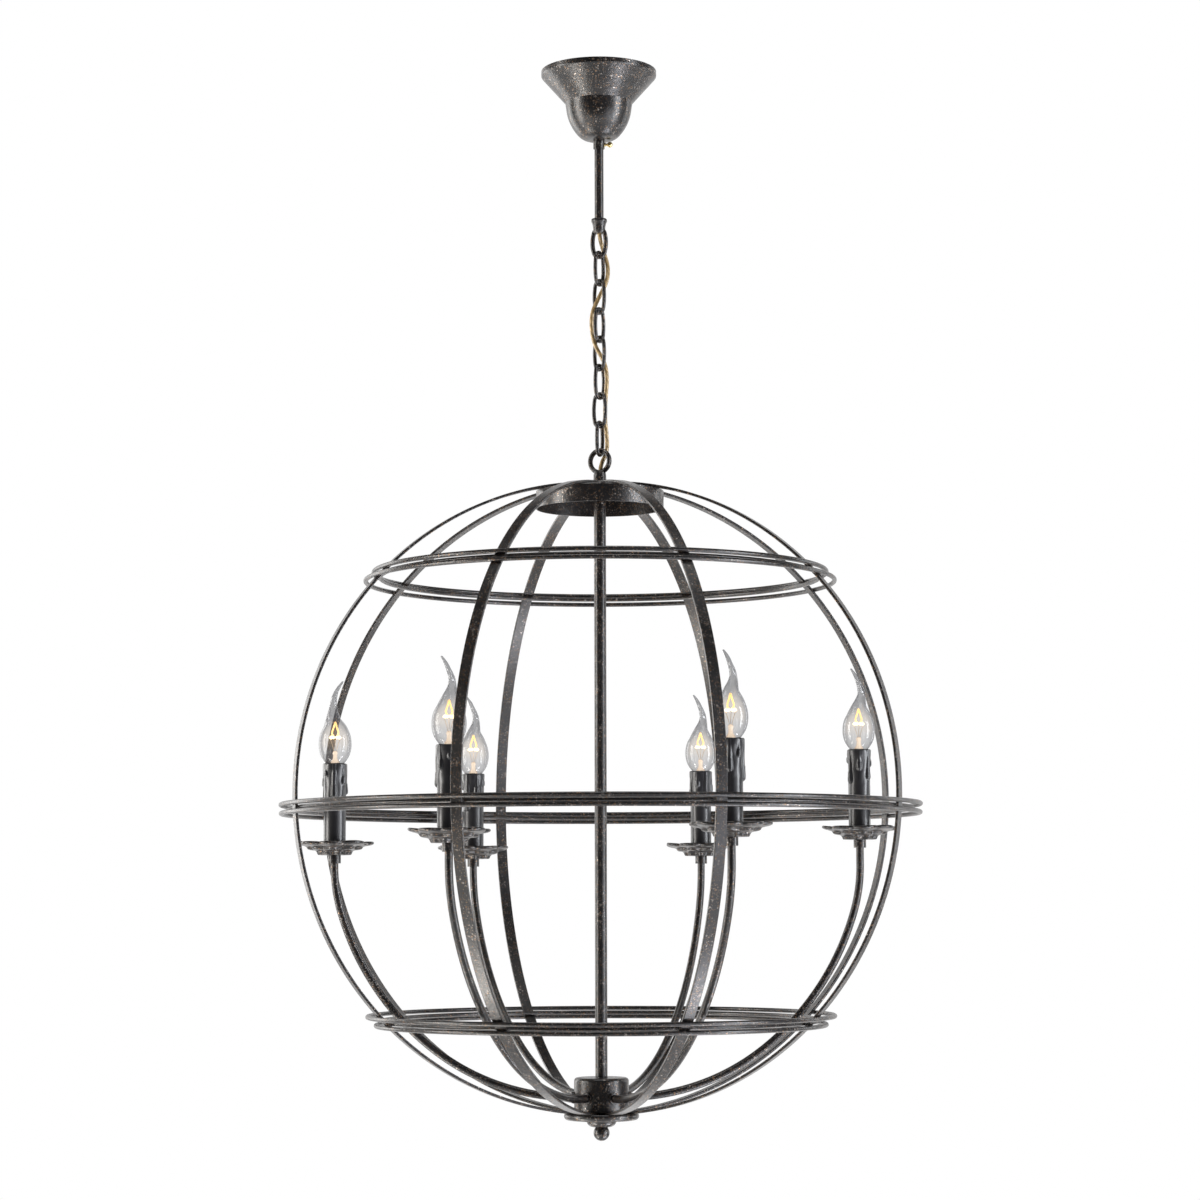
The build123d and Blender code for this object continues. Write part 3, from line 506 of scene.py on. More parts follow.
chain = {"firstTop": -200.6, "pitch": 31.1, "wire": 4.2, "length": 39.8, "width": 20.0, "endRadius": 6.8,
         "headings": (57, -48, 56, -49, 55, -38, 68)}
linkBodies = [f"link_{number}" for number in range(1, 8)]
linkReach = (chain["length"] - chain["wire"]) / 2  # from a link's middle to the centre of its wire
linkMiddles = [chain["firstTop"] - step * chain["pitch"] - linkReach for step in range(len(linkBodies))]
pivots = [stemLoop["eyeFoot"]] + [middle - linkReach for middle in linkMiddles]

routeData = bpy.data.curves.new("cordLine", "CURVE")
routeData.dimensions = "3D"
routeData.resolution_u = 24
routeSpline = routeData.splines.new("NURBS")
routeSpline.points.add(len(cordRoute) - 1)
for point, where in zip(routeSpline.points, cordRoute):
    point.co = (*where, 1.0)
routeSpline.order_u = 3
routeSpline.use_endpoint_u = True
routeObject = bpy.data.objects.new("cordLine", routeData)
bpy.context.scene.collection.objects.link(routeObject)
lineMesh = bpy.data.meshes.new_from_object(routeObject)
cordLine = np.array([tuple(vertex.co) for vertex in lineMesh.vertices]) / mm
bpy.data.objects.remove(routeObject)
cordRun = np.concatenate(([0.0], np.cumsum(np.linalg.norm(np.diff(cordLine, axis=0), axis=1))))
cordFrame = tubeRings(cordLine, cordLook["diameter"] / 2, cordLook["sides"], up=(0.0, 1.0, 0.0))
cordBreaks = [cordLine[0][2]] + linkMiddles + [cordLine[-1][2]]
cordBodies = ["hanger"] + linkBodies + ["orb"]
slack = 1e-6  # so that a point right on a break belongs to both lengths
for number, (top, foot) in enumerate(zip(cordBreaks, cordBreaks[1:])):
    held = [i for i, point in enumerate(cordLine) if foot - slack <= point[2] <= top + slack]
    first, last = held[0] - (number > 0), held[-1]
    span = range(first, last + 1)
    row = cordLook["sides"] + 1
    points, uv, faces = [], [], []
    for i in span:
        ring = cordFrame[i]
        points.extend(ring)
        points.append(ring[0])  # the seam has its own column, so the UV runs on
        uv.extend((j / cordLook["sides"], cordRun[i] * mm) for j in range(row))
    for i in range(len(span) - 1):
        for j in range(cordLook["sides"]):
            faces.append((i * row + j, i * row + j + 1, (i + 1) * row + j + 1, (i + 1) * row + j))
    stretch = newMesh(f"lampCord{number + 1}", points, faces, goldCord, 60, uv)
    cordBodies[number + 1]
    (pivots[number] + cordLook["bendZone"]) * mm
    (pivots[number] - cordLook["bendZone"]) * mm
    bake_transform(stretch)
    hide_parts("lamp_cord")
    path = [tuple(cordLine[i] * mm) for i in span]
print("cord woven, length", round(cordRun[-1], 1), "mm")

# ---- round bars swept along a path: the chain links ----
graph, wires, barInputs = geometryTree(
    "roundBar",
    (("Geometry", "NodeSocketGeometry"), ("Radius", "NodeSocketFloat"), ("Sides", "NodeSocketInt"),
     ("Finish", "NodeSocketMaterial")),
)
barSize = {"Resolution": wires["Sides"], "Radius": wires["Radius"]}
profile = graph.node("GeometryNodeCurvePrimitiveCircle", None, barSize)
bar = graph.node("GeometryNodeCurveToMesh", None, {"Curve": wires["Geometry"], "Profile Curve": profile})
finishTree(graph, bar, wires["Finish"])
barTree = graph.tree


def ovalPoints(width, length, endRadius, heading, middle, steps=14):  # four tangent arcs, the long way up
    endCentre = length / 2 - endRadius
    sideRadius = ((width / 2) ** 2 + endCentre**2 - endRadius**2) / (2 * (width / 2 - endRadius))
    slant = math.atan2(endCentre, sideRadius - width / 2)
    flat = []
    arcs = (
        (-(sideRadius - width / 2), 0.0, sideRadius, -slant, 2 * slant),
        (0.0, endCentre, endRadius, slant, math.pi - 2 * slant),
        (sideRadius - width / 2, 0.0, sideRadius, math.pi - slant, 2 * slant),
        (0.0, -endCentre, endRadius, math.pi + slant, math.pi - 2 * slant),
    )
    for x, y, radius, start, sweep in arcs:
        for turn in np.linspace(start, start + sweep, steps, endpoint=False):
            flat.append((x + radius * math.cos(turn), y + radius * math.sin(turn)))
    outwards = headingVector(heading)
    return [x * outwards + np.array((0, 0, middle + y)) for x, y in flat]


def loopHost(name, points):  # a closed curve through the points
    data = bpy.data.curves.new(name, "CURVE")
    data.dimensions = "3D"
    spline = data.splines.new("POLY")
    spline.points.add(len(points) - 1)
    for point, where in zip(spline.points, points):
        point.co = (*(np.asarray(where) * mm), 1.0)
    spline.use_cyclic_u = True
    return bpy.data.objects.new(name, data)


for body, heading, middle in zip(linkBodies, chain["headings"], linkMiddles):
    oval = ovalPoints(chain["width"] - chain["wire"], 2 * linkReach, chain["endRadius"], heading, middle)
    link = grow(
        "chain" + body.replace("_", "").capitalize(), loopHost(body, oval), barTree, barInputs,
        {"Radius": chain["wire"] / 2 * mm, "Sides": 20, "Finish": blackIron},
    )
    place(link, body, "black_iron", body)
print("chain linked")

# ---- stem loop: collar, neck and eye ----
eye = ovalPoints(
    stemLoop["width"] - stemLoop["wire"], stemLoop["eyeTop"] - stemLoop["eyeFoot"], stemLoop["endRadius"],
    stemLoop["heading"], (stemLoop["eyeTop"] + stemLoop["eyeFoot"]) / 2,
)
eyeAxis = headingVector(stemLoop["heading"] + 90)
loopShell = Shell()
loopShell.rings(tubeRings(eye + [eye[0]], stemLoop["wire"] / 2, 24, eyeAxis)[:-1], closed=True)
loopShell.spin(
    ((4.95, -163.4), (7.4, -163.4), (8.2, -163.8), (8.6, -164.8), (8.6, -166.2), (8.3, -167.3),
     (7.6, -168.4), (6.9, -171.5), (6.5, -175.0), (6.25, -178.6), (5.4, -179.6), (2.9, -179.6),
     (2.9, -170.6), (4.95, -170.6)), 48,
)
place(loopShell.made("stemLoop", blackIron), "hanger", "black_iron", "stem_loop")

# ---- hanging loop of the orb: ring, neck and flange ----
ring = {"heading": -30, "middle": -429.65, "radius": 11.75, "radial": 5.0, "depth": 6.4}
outwards = headingVector(ring["heading"])
across = headingVector(ring["heading"] + 90)
rings = []
for turn in stepsRound(64):
    spoke = math.cos(turn) * outwards + math.sin(turn) * upward
    middle = np.array((0, 0, ring["middle"])) + ring["radius"] * spoke
    rings.append([
        middle + ring["radial"] / 2 * math.cos(a) * spoke - ring["depth"] / 2 * math.sin(a) * across
        for a in stepsRound(24)
    ])
hangShell = Shell()
hangShell.rings(rings, closed=True)
hangShell.spin(
    ((5.05, -455.6), (12.6, -455.6), (13.0, -455.2), (13.0, -453.9), (12.5, -453.3), (8.6, -452.9),
     (7.6, -452.2), (7.0, -450.6), (6.85, -444.6), (6.2, -441.6), (2.9, -441.6), (2.9, -445.3),
     (5.05, -445.3)), 56,
)
place(hangShell.made("hangingRing", blackIron), "orb", "black_iron", "hanging_loop")

# ---- ribs: one bent flat bar, eight times round ----
ribs = {"radius": 337.5, "width": 12.0, "thickness": 3.0, "edge": 0.7, "endRadius": 16.0, "count": 8,
        "turn": -69.65}
graph, wires, ribInputs = geometryTree(
    "ribCage",
    (("Radius", "NodeSocketFloat"), ("Width", "NodeSocketFloat"), ("Thickness", "NodeSocketFloat"),
     ("Edge", "NodeSocketFloat"), ("Open Angle", "NodeSocketFloat"), ("Count", "NodeSocketInt"),
     ("Turn", "NodeSocketFloat"), ("Height", "NodeSocketFloat"), ("Finish", "NodeSocketMaterial")),
)
bend = graph.node(
    "GeometryNodeCurveArc", None,
    {"Resolution": 160, "Radius": wires["Radius"] - wires["Thickness"] * 0.5,
     "Start Angle": -math.pi / 2 + wires["Open Angle"], "Sweep Angle": math.pi - 2 * wires["Open Angle"]},
)
bend = graph.node("GeometryNodeTransform", None, {"Geometry": bend, "Rotation": (math.pi / 2, 0, 0)})
bend = graph.node("GeometryNodeSetCurveNormal", {"mode": "MINIMUM_TWIST"}, {"Curve": bend})
barSize = {"Width": wires["Width"], "Height": wires["Thickness"]}
barSection = graph.node("GeometryNodeCurvePrimitiveQuadrilateral", None, barSize)
barSection = graph.node(
    "GeometryNodeFilletCurve", {"mode": "POLY"},
    {"Curve": barSection, "Radius": wires["Edge"], "Limit Radius": True, "Count": 2},
)
swept = {"Curve": bend, "Profile Curve": barSection, "Fill Caps": True}
bent = graph.node("GeometryNodeCurveToMesh", None, swept)
spots = graph.node("GeometryNodePoints", None, {"Count": wires["Count"]})
index = graph.node("GeometryNodeInputIndex")
spin = graph.node("ShaderNodeCombineXYZ", None, {"Z": wires["Turn"] + index * fullCircle / wires["Count"]})
copied = {"Points": spots, "Instance": bent, "Rotation": spin}
copies = graph.node("GeometryNodeInstanceOnPoints", None, copied)
lift = graph.node("ShaderNodeCombineXYZ", None, {"Z": wires["Height"]})
copies = graph.node("GeometryNodeTransform", None, {"Geometry": copies, "Translation": lift})
finishTree(graph, copies, wires["Finish"])
openAngle = math.asin(ribs["endRadius"] / ribs["radius"])
ribMesh = grow(
    "ribs", emptyHost("ribs"), graph.tree, ribInputs,
    {"Radius": ribs["radius"] * mm, "Width": ribs["width"] * mm, "Thickness": ribs["thickness"] * mm,
     "Edge": ribs["edge"] * mm, "Open Angle": openAngle, "Count": ribs["count"],
     "Turn": math.radians(ribs["turn"]), "Height": orbCentre * mm, "Finish": blackIron},
    sharpFrom=14,
)
place(ribMesh, "orb", "black_iron", *[f"rib_{number}" for number in range(1, 9)])
print("ribs bent")

# ---- hoops: three rods each, with weld beads at the ribs ----
hoops = {"rod": 4.95, "pitch": 4.55, "gap": 0.1, "bead": 1.5,
         "beadSpread": 0.47,  # from the rib's middle to a bead, in rib widths
         "beadSink": 0.42,  # from the rod's centre to a bead, in rod diameters
         "heights": {"upper": 233.5, "middle": -14.8, "lower": -238.0}}
graph, wires, hoopInputs = geometryTree(
    "hoopRods",
    (("Radius Low", "NodeSocketFloat"), ("Radius Middle", "NodeSocketFloat"),
     ("Radius High", "NodeSocketFloat"), ("Height", "NodeSocketFloat"), ("Pitch", "NodeSocketFloat"),
     ("Rod", "NodeSocketFloat"), ("Bead", "NodeSocketFloat"), ("Rib Width", "NodeSocketFloat"),
     ("Count", "NodeSocketInt"), ("Turn", "NodeSocketFloat"), ("Finish", "NodeSocketMaterial")),
)
rodSize = {"Resolution": 14, "Radius": wires["Rod"] * 0.5}
rodSection = graph.node("GeometryNodeCurvePrimitiveCircle", None, rodSize)
bead = graph.node("GeometryNodeMeshIcoSphere", None, {"Radius": wires["Bead"], "Subdivisions": 2})
gathered = graph.tree.nodes.new("GeometryNodeJoinGeometry")
index = graph.node("GeometryNodeInputIndex")
for label, step, inward in (("Radius Low", -1, 1), ("Radius Middle", 0, -1), ("Radius High", 1, 1)):
    circle = {"Resolution": 160, "Radius": wires[label]}
    circle = graph.node("GeometryNodeCurvePrimitiveCircle", None, circle)
    circle = graph.node("GeometryNodeSetCurveNormal", {"mode": "Z_UP"}, {"Curve": circle})
    rod = graph.node("GeometryNodeCurveToMesh", None, {"Curve": circle, "Profile Curve": rodSection})
    height = wires["Height"] + wires["Pitch"] * step
    level = graph.node("ShaderNodeCombineXYZ", None, {"Z": height})
    rod = graph.node("GeometryNodeTransform", None, {"Geometry": rod, "Translation": level})
    graph.tree.links.new(rod.socket, gathered.inputs[0])
    side = graph.maths("MODULO", index, 2.0) * 2.0 - 1.0  # two beads to a crossing, at the rib's two edges
    rib = graph.maths("FLOOR", index * 0.5)
    heading = wires["Turn"] + rib * fullCircle / wires["Count"]
    heading = heading + side * wires["Rib Width"] * hoops["beadSpread"] / wires[label]
    reach = wires[label] - wires["Rod"] * (hoops["beadSink"] * inward)
    spot = graph.node(
        "ShaderNodeCombineXYZ", None,
        {"X": reach * graph.maths("COSINE", heading), "Y": reach * graph.maths("SINE", heading), "Z": height},
    )
    beadCount = graph.maths("MULTIPLY", wires["Count"], 2.0)
    spots = graph.node("GeometryNodePoints", None, {"Count": beadCount, "Position": spot})
    beads = graph.node("GeometryNodeInstanceOnPoints", None, {"Points": spots, "Instance": bead})
    graph.tree.links.new(beads.socket, gathered.inputs[0])
finishTree(graph, Wire(graph, gathered.outputs[0]), wires["Finish"])
outside = ribs["radius"] + hoops["gap"] + hoops["rod"] / 2
inside = ribs["radius"] - ribs["thickness"] - hoops["gap"] - hoops["rod"] / 2
for name, height in hoops["heights"].items():
    reaches = {}
    for label, step, reach in (("Radius Low", -1, outside), ("Radius Middle", 0, inside),
                               ("Radius High", 1, outside)):
        reaches[label] = math.sqrt(reach**2 - (height + step * hoops["pitch"]) ** 2) * mm
    hoop = grow(
        name + "Hoop", emptyHost(name), graph.tree, hoopInputs,
        {**reaches, "Height": (orbCentre + height) * mm, "Pitch": hoops["pitch"] * mm,
         "Rod": hoops["rod"] * mm, "Bead": hoops["bead"] * mm, "Rib Width": ribs["width"] * mm,
         "Count": ribs["count"], "Turn": math.radians(ribs["turn"]), "Finish": blackIron},
    )
    place(hoop, "orb", "black_iron", name + "_hoop")
print("hoops welded")

# ---- candles: trays and sleeves ----
candles = {"count": 6, "radius": 283.6, "headings": (-179, -122, 121, 66, -63, 9), "lifts": (-6, 2, -7, -4, 7, 10),
           "sleeveTurns": (20, 75, 140, 200, 260, 320), "trayTurns": (0, 12, 30, 20, 38, 5),
           "bulbBends": (10, 190, 200, 185, 150, 175), "coilTurns": (4, 24, -6, 8, -20, 12)}


def candleSpot(number):
    height = orbCentre + candles["lifts"][number]
    return candles["radius"] * headingVector(candles["headings"][number]) + np.array((0, 0, height))


tray = {
    "floor": -56.85, "hole": 5.2, "sheet": 2.0, "rimSheet": 3.3, "thinnest": 1.2, "sides": 160,
    "petals": 8, "petalRadius": 16.0, "petalReach": 26.0,
    "steps": ((5.2, 0.0), (15.6, 0.0), (17.4, 1.0), (18.3, 3.2), (20.2, 4.6), (25.4, 5.4), (27.5, 6.6),
              (28.6, 8.4), (31.0, 9.3), (37.5, 10.4), (42.0, 12.2)),  # radius and height of the under face
    "rimFrom": 18.0, "rimAt": 42.0,  # the petals grow from the one radius to the other
    "innerRidge": (18.5, 1.5), "outerRidge": (28.5, 1.7), "ridgeWidth": 3.5,  # radius, depth of the lobes
    "swellFrom": 30.0, "swellOver": 8.0,  # where the sheet thickens to its rim
    "edgeTurns": (-80, -55, -28, 0, 28, 55, 80),
}


def traySurface(turn):  # the under face from the hole to the petalled rim, stepped like run wax
    petal = fullCircle / tray["petals"]
    offset = (turn + petal / 2) % petal - petal / 2
    rim = tray["petalReach"] * math.cos(offset) + math.sqrt(
        tray["petalRadius"] ** 2 - (tray["petalReach"] * math.sin(offset)) ** 2
    )
    lobe = math.cos(tray["petals"] * turn)
    (innerAt, innerDepth), (outerAt, outerDepth) = tray["innerRidge"], tray["outerRidge"]
    points = []
    for reach, rise in smoothRun(tray["steps"], 4):
        share = max(0.0, (reach - tray["rimFrom"]) / (tray["rimAt"] - tray["rimFrom"]))
        ripple = 0.5 * share * math.sin(3 * turn + 1)
        radius = reach + (rim - tray["rimAt"]) * share**1.5
        radius -= innerDepth * lobe * math.exp(-(((reach - innerAt) / tray["ridgeWidth"]) ** 2))
        radius += outerDepth * lobe * math.exp(-(((reach - outerAt) / tray["ridgeWidth"]) ** 2)) + ripple
        wave = 0.5 * share * math.sin(3 * turn + reach / 8) + 0.35 * share * math.sin(5 * turn)
        points.append((radius, rise + wave))
    return points


def trayColumn(turn):  # the whole section of the sheet at a turn: under face, rounded edge, upper face
    low = np.array(traySurface(turn))
    slope = np.gradient(low, axis=0)
    slope /= np.linalg.norm(slope, axis=1)[:, None]
    swell = np.clip((low[:, 0] - tray["swellFrom"]) / tray["swellOver"], 0, 1)[:, None]
    thick = tray["sheet"] + (tray["rimSheet"] - tray["sheet"]) * swell
    high = low + thick * np.column_stack((-slope[:, 1], slope[:, 0]))
    high[:, 0] = np.maximum(high[:, 0], tray["hole"])
    middle = (low[-1] + high[-1]) / 2
    half = (high[-1] - low[-1]) / 2
    out = slope[-1] * np.linalg.norm(half)
    edge = [middle + half * math.sin(a) + out * (math.cos(a) - 1.0) for a in np.radians(tray["edgeTurns"])]
    high[:, 1] = np.maximum(high[:, 1], low[:, 1] + tray["thinnest"])
    return np.vstack((low[:-3], edge, high[-4::-1]))


trayAround = stepsRound(tray["sides"])
trayColumns = np.array([trayColumn(turn) for turn in trayAround])
trayShell = Shell()
for number, turned in enumerate(candles["trayTurns"]):
    spot = candleSpot(number) + np.array((0, 0, tray["floor"]))
    angle = trayAround + math.radians(turned)
    rows = range(trayColumns.shape[1])
    rings = [ringAt(spot, trayColumns[:, i, 0], angle, trayColumns[:, i, 1]) for i in rows]
    trayShell.rings(rings, closed=True)
place(trayShell.made("dripTrays", blackIron, 50), "orb", "black_iron", "drip_trays")
print("trays beaten")

sleeve = {
    "foot": -54.7, "top": 41.2, "radius": 11.8, "bore": 10.3, "sides": 144,
    "lipRadius": 12.9, "lipHeight": 7.0, "flare": 18.0,  # the sleeve widens to its lip from this far down
    "dripCircle": 10.6, "dripBulge": 0.12, "dripThin": 0.86, "thinUntil": 0.7, "waveUntil": 40.0,
    "drips": ((0, 31, 3.3), (50, 17, 2.9), (98, 40, 3.5), (152, 23, 3.1), (203, 13, 2.9), (251, 35, 3.4),
              (306, 21, 3.0)),  # heading, length, radius
    "plainDrops": (75.0, 60.0, 50.0), "drippedFrom": 46.0, "drippedTo": 1.4, "dripStep": 0.7,
    "mouthFrom": 2.0, "mouthTo": 2.2, "mouthSink": 0.25,
    "mouth": ((0.35, 0.75), (1.0, 0.3), (1.9, 0.25), (2.5, 0.7)),  # inset and drop over the rounded mouth
}


def sleeveRadius(turn, drop, twist):  # outside of the sleeve at a turn, this far below the top
    radius = np.full_like(turn, sleeve["radius"])
    if drop < sleeve["flare"]:
        share = min(1.0, (sleeve["flare"] - drop) / (sleeve["flare"] - sleeve["lipHeight"]))
        radius += (sleeve["lipRadius"] - sleeve["radius"]) * share**1.4
    for heading, length, size in sleeve["drips"]:
        away = (turn - math.radians(heading) + math.pi) % fullCircle - math.pi
        sideways = sleeve["dripCircle"] * np.sin(away)
        end = max(0.0, drop - length)
        bulge = 1 + sleeve["dripBulge"] * math.exp(-(((drop - length + 1.5) / 4.0) ** 2))
        head = size * bulge * (sleeve["dripThin"] if drop < length * sleeve["thinUntil"] else 1.0)
        inside = head**2 - sideways**2 - end**2
        reach = sleeve["dripCircle"] * np.cos(away) + np.sqrt(np.maximum(inside, 0))
        drip = np.where((inside > 0) & (np.abs(away) < 1.2), reach, 0.0)
        radius = np.maximum(radius, drip)
    return radius + 0.12 * np.sin(5 * turn + twist + drop / 4) * (drop < sleeve["waveUntil"])


sleeveAround = stepsRound(sleeve["sides"])
sleeveDrops = [sleeve["top"] - sleeve["foot"], *sleeve["plainDrops"]]
sleeveDrops += list(np.arange(sleeve["drippedFrom"], sleeve["drippedTo"], -sleeve["dripStep"]))
for number in range(candles["count"]):
    profile = [(sleeveRadius(sleeveAround, drop, number), sleeve["top"] - drop) for drop in sleeveDrops]
    rimRadius = sleeveRadius(sleeveAround, sleeve["mouthFrom"], number)
    sag = 0.5 * np.sin(3 * sleeveAround + number) + 0.3 * np.sin(7 * sleeveAround + 2 * number)
    for inset, drop in sleeve["mouth"]:
        height = sleeve["top"] - drop - sleeve["mouthSink"] + sleeve["mouthSink"] * sag
        profile.append((np.maximum(rimRadius - inset, sleeve["bore"]), height))
    profile.append((sleeve["bore"], sleeve["top"] - sleeve["mouthTo"]))
    profile.append((sleeve["bore"], sleeve["foot"]))
    spot = candleSpot(number)
    angle = sleeveAround + math.radians(candles["sleeveTurns"][number])
    sleeveShell = Shell()
    sleeveShell.rings([ringAt(spot, radius, angle, height) for radius, height in profile], closed=True)
    place(sleeveShell.made(f"sleeve{number + 1}", candleWax, 60), "orb", "black_wax", f"sleeve_{number + 1}")
print("sleeves dripped")

# ---- bulbs: bent and twisted glass flame, screw cap, glass stem, leads and coil ----
bulb = {
    "sections": ((-2.2, 7.0, 0.0), (0.5, 10.5, 0.0), (7.5, 15.1, 0.0), (15.0, 17.2, 0.0), (23.0, 17.45, 0.0),
                 (31.0, 15.9, 0.0), (39.0, 12.3, -0.3), (48.0, 7.6, -1.4), (57.0, 4.5, -2.6),
                 (66.0, 3.3, -2.2), (74.0, 2.6, 0.2), (81.0, 2.0, 3.6), (87.0, 1.1, 7.6)),  # height, radius, bend
    "sides": 64, "flutes": 3, "twist": 0.075, "fluteFrom": 34.0, "fluteOver": 16.0, "fluteDepth": 0.13,
}
thread = {"foot": -25.5, "length": 17.5, "steps": 36, "radius": 6.72, "depth": 0.26, "pitch": 3.2}
capOutline = [(1.6, -27.2), (4.4, -26.6), (6.0, -26.0)]
for step in range(thread["steps"] + 1):  # the cap's rolled thread, as rings
    height = thread["foot"] + thread["length"] * step / thread["steps"]
    roll = math.cos(fullCircle * (height - thread["foot"]) / thread["pitch"])
    capOutline.append((thread["radius"] + thread["depth"] * roll, height))
capOutline += [(6.9, -7.4), (7.0, -2.6), (6.6, -2.3), (1.6, -2.3)]
mountOutline = ((0.4, -2.0), (5.6, -2.0), (4.6, 1.0), (2.6, 4.4), (2.2, 8.0), (2.9, 10.6), (2.2, 12.4),
                (0.4, 13.0))
leads = {"radius": 0.28, "sides": 8, "path": ((1.2, 9.0), (1.6, 14.0), (3.2, 20.0), (5.4, 26.0)),
         "supportRadius": 0.16, "supportSides": 6, "up": (0.3, 0.9, 0.1)}
coil = {"path": ((-5.4, 26.0), (-3.6, 28.4), (-1.6, 27.2), (-3.4, 32.0), (-1.5, 38.5), (0.0, 43.4), (1.5, 38.5),
                 (3.4, 32.0), (1.6, 27.2), (3.6, 28.4), (5.4, 26.0)),
        "radius": 0.92, "swell": 0.7, "sides": 8, "up": (0.2, 0.95, 0.1),
        "hotHeight": 26.8, "hotLength": 1.8}  # the wire is thickest and whitest at its two feet
bulbAround = stepsRound(bulb["sides"])
for number in range(candles["count"]):
    name = f"bulb{number + 1}"
    body = f"bulb_{number + 1}"
    spot = candleSpot(number) + np.array((0, 0, sleeve["top"]))
    lean = headingVector(candles["bulbBends"][number])
    outer = []
    for height, radius, reach in smoothRun(bulb["sections"], 6):
        above = height - bulb["fluteFrom"]
        flute = min(1.0, max(0.0, above / bulb["fluteOver"]))
        ridges = np.cos(bulb["flutes"] * bulbAround - bulb["twist"] * bulb["flutes"] * above)
        middle = spot + reach * lean + np.array((0, 0, height))
        outer.append(ringAt(middle, radius * (1 + bulb["fluteDepth"] * flute * ridges), bulbAround))
    tip = outer[-1].mean(axis=0)
    outer.append(tip + 0.55 * (outer[-1] - tip) + np.array((0, 0, 0.5)))
    envelope = Shell()
    envelope.rings(outer)
    tall = bulb["sections"][-1][0]
    heights = np.array(envelope.points)[:, 2] - spot[2]
    glassUv = np.column_stack((np.resize(bulbAround / fullCircle, len(heights)), heights / tall))
    glass = newMesh(name + "Glass", envelope.points, envelope.faces, clearGlass, 60, glassUv)
    glass.visible_shadow = False
    place(glass, body, "bulb_glass", body)

    cap = Shell()
    cap.spin(capOutline, 40, at=spot)
    place(cap.made(name + "Cap", zincSteel, 50), body, "bulb_glass")

    mount = Shell()
    mount.spin(mountOutline, 24, at=spot)
    place(mount.made(name + "Stem", stemGlass, 60), body, "bulb_glass")

    facing = headingVector(candles["coilTurns"][number])
    wiring = Shell()
    for side in (-1, 1):
        lead = smoothRun([spot + side * x * facing + z * upward for x, z in leads["path"]], 6)
        wiring.rings(tubeRings(lead, leads["radius"], leads["sides"], leads["up"]))
    for side in (-0.4, 0.5):
        path = ((0.0, 12.0), (side, 22.0), (side * 3.4, 31.0))
        support = smoothRun([spot + x * facing + z * upward for x, z in path], 6)
        wiring.rings(tubeRings(support, leads["supportRadius"], leads["supportSides"], leads["up"]))
    place(wiring.made(name + "Leads", leadWire, 60), body, "bulb_glass")

    run = smoothRun([spot + x * facing + z * upward for x, z in coil["path"]], 8)
    heat = np.exp(-(((run[:, 2] - spot[2] - coil["hotHeight"]) / coil["hotLength"]) ** 2))
    hot = Shell()
    hot.rings(tubeRings(run, coil["radius"] + coil["swell"] * heat, coil["sides"], coil["up"]))
    glow = np.column_stack((np.zeros(len(hot.points)), np.repeat(heat, coil["sides"])))
    place(newMesh(name + "Coil", hot.points, hot.faces, hotCoil, 60, glow), body, "bulb_glass")
print("bulbs blown")

# ---- stage and lights, in metres ----
stage = {"floor": -4.2, "radius": 7.0, "sides": 96, "paleTo": 2.0, "whiteFrom": 4.2}


def stageSurface(graph, where):  # pale under the object, as white as the room further out
    cloud = graph.noise(where, 0.6, 2.0)
    away = graph.node("ShaderNodeVectorMath", {"operation": "LENGTH"}, {0: where}, "Value")
    edges = [math.hypot(stage["floor"], stage[edge]) for edge in ("paleTo", "whiteFrom")]
    lit = graph.step(away, *edges)
    return {
        "Base Color": graph.mix(lit, graph.mix(cloud, *tones["stage"]), stageFar),
        "Roughness": 0.9 + 0.05 * cloud,
        "Emission Color": graph.mix(lit, *tones["stageGlow"]),
    }


paleStage = newFinish("paleStage", {"Emission Strength": 1.0}, stageSurface)
stageRim = ringAt((0, 0, stage["floor"]), stage["radius"], stepsRound(stage["sides"]))
newMesh("floor", stageRim / mm, [tuple(range(stage["sides"]))], paleStage, 60)

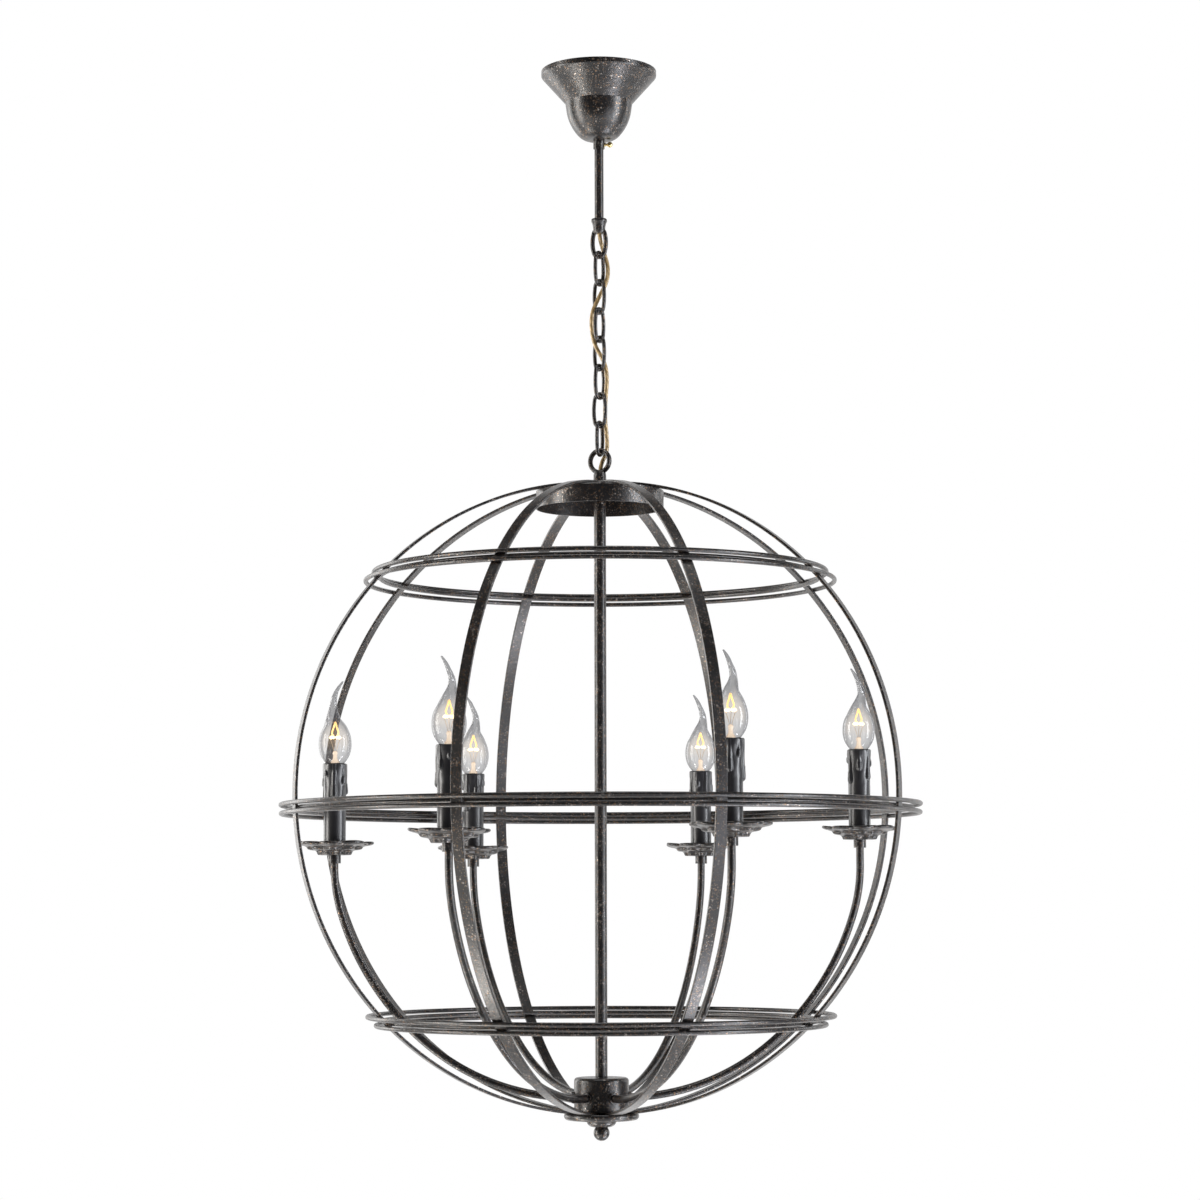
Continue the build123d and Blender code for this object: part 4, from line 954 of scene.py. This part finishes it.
world = bpy.data.worlds.new("studio")
bpy.context.scene.world = world
world.use_nodes = True
world.node_tree.nodes.clear()
room = {"seen": 1.0, "mirrored": 0.06}  # white to look at, dim on gloss
graph = Graph(world.node_tree)
direct = graph.node("ShaderNodeLightPath", None, None, "Is Camera Ray")
paper = {"Color": (1, 1, 1, 1), "Strength": room["mirrored"] * (1 - direct) + direct * room["seen"]}
graph.node("ShaderNodeOutputWorld", None, {"Surface": graph.node("ShaderNodeBackground", None, paper)})

lamps = (  # name, place, size, watts, colour
    ("panelLeft", (-3.0, -0.5, -0.7), (1.0, 2.8), 78.0, (1.0, 0.97, 0.93)),
    ("panelRight", (2.8, -1.1, -0.7), (0.7, 3.0), 84.0, (0.92, 0.95, 1.0)),
    ("bellLeft", (-1.75, -1.75, -1.7), (0.5, 0.7), 3.5, (1.0, 0.95, 0.88)),
    ("bellRight", (1.9, -2.2, -1.5), (0.7, 1.4), 11.0, (0.93, 0.93, 1.0)),
    ("paperBack", (0.0, 3.0, -0.9), (5.2, 5.4), 88.0, (1.0, 1.0, 1.0)),
    ("topSoft", (0.0, -0.4, 1.4), (1.6, 1.2), 16.0, (1.0, 1.0, 1.0)),
    ("lowLeft", (-1.5, -0.3, -2.7), (0.6, 0.9), 24.0, (1.0, 0.96, 0.9)),
    ("lowRight", (1.3, -0.3, -2.7), (0.6, 0.9), 24.0, (0.92, 0.93, 1.0)),
    ("rimLeft", (-2.3, 1.9, -0.5), (1.2, 2.4), 34.0, (1.0, 0.99, 0.97)),
    ("rimRight", (2.5, 1.6, -0.5), (0.35, 2.4), 14.0, (0.96, 0.98, 1.0)),
)
lampAim = Vector((0, 0, -0.75))
for name, spot, size, watts, colour in lamps:
    data = bpy.data.lights.new(name, "AREA")
    data.shape = "RECTANGLE"
    data.size, data.size_y = size
    data.energy = watts
    data.color = colour
    lamp = bpy.data.objects.new(name, data)
    lamp.location = spot
    lamp.visible_camera = False
    lamp.rotation_euler = (lampAim - Vector(spot)).to_track_quat("-Z", "Y").to_euler()
    bpy.context.scene.collection.objects.link(lamp)
bpy.context.scene.view_settings.view_transform = "Standard"
print("stage lit")
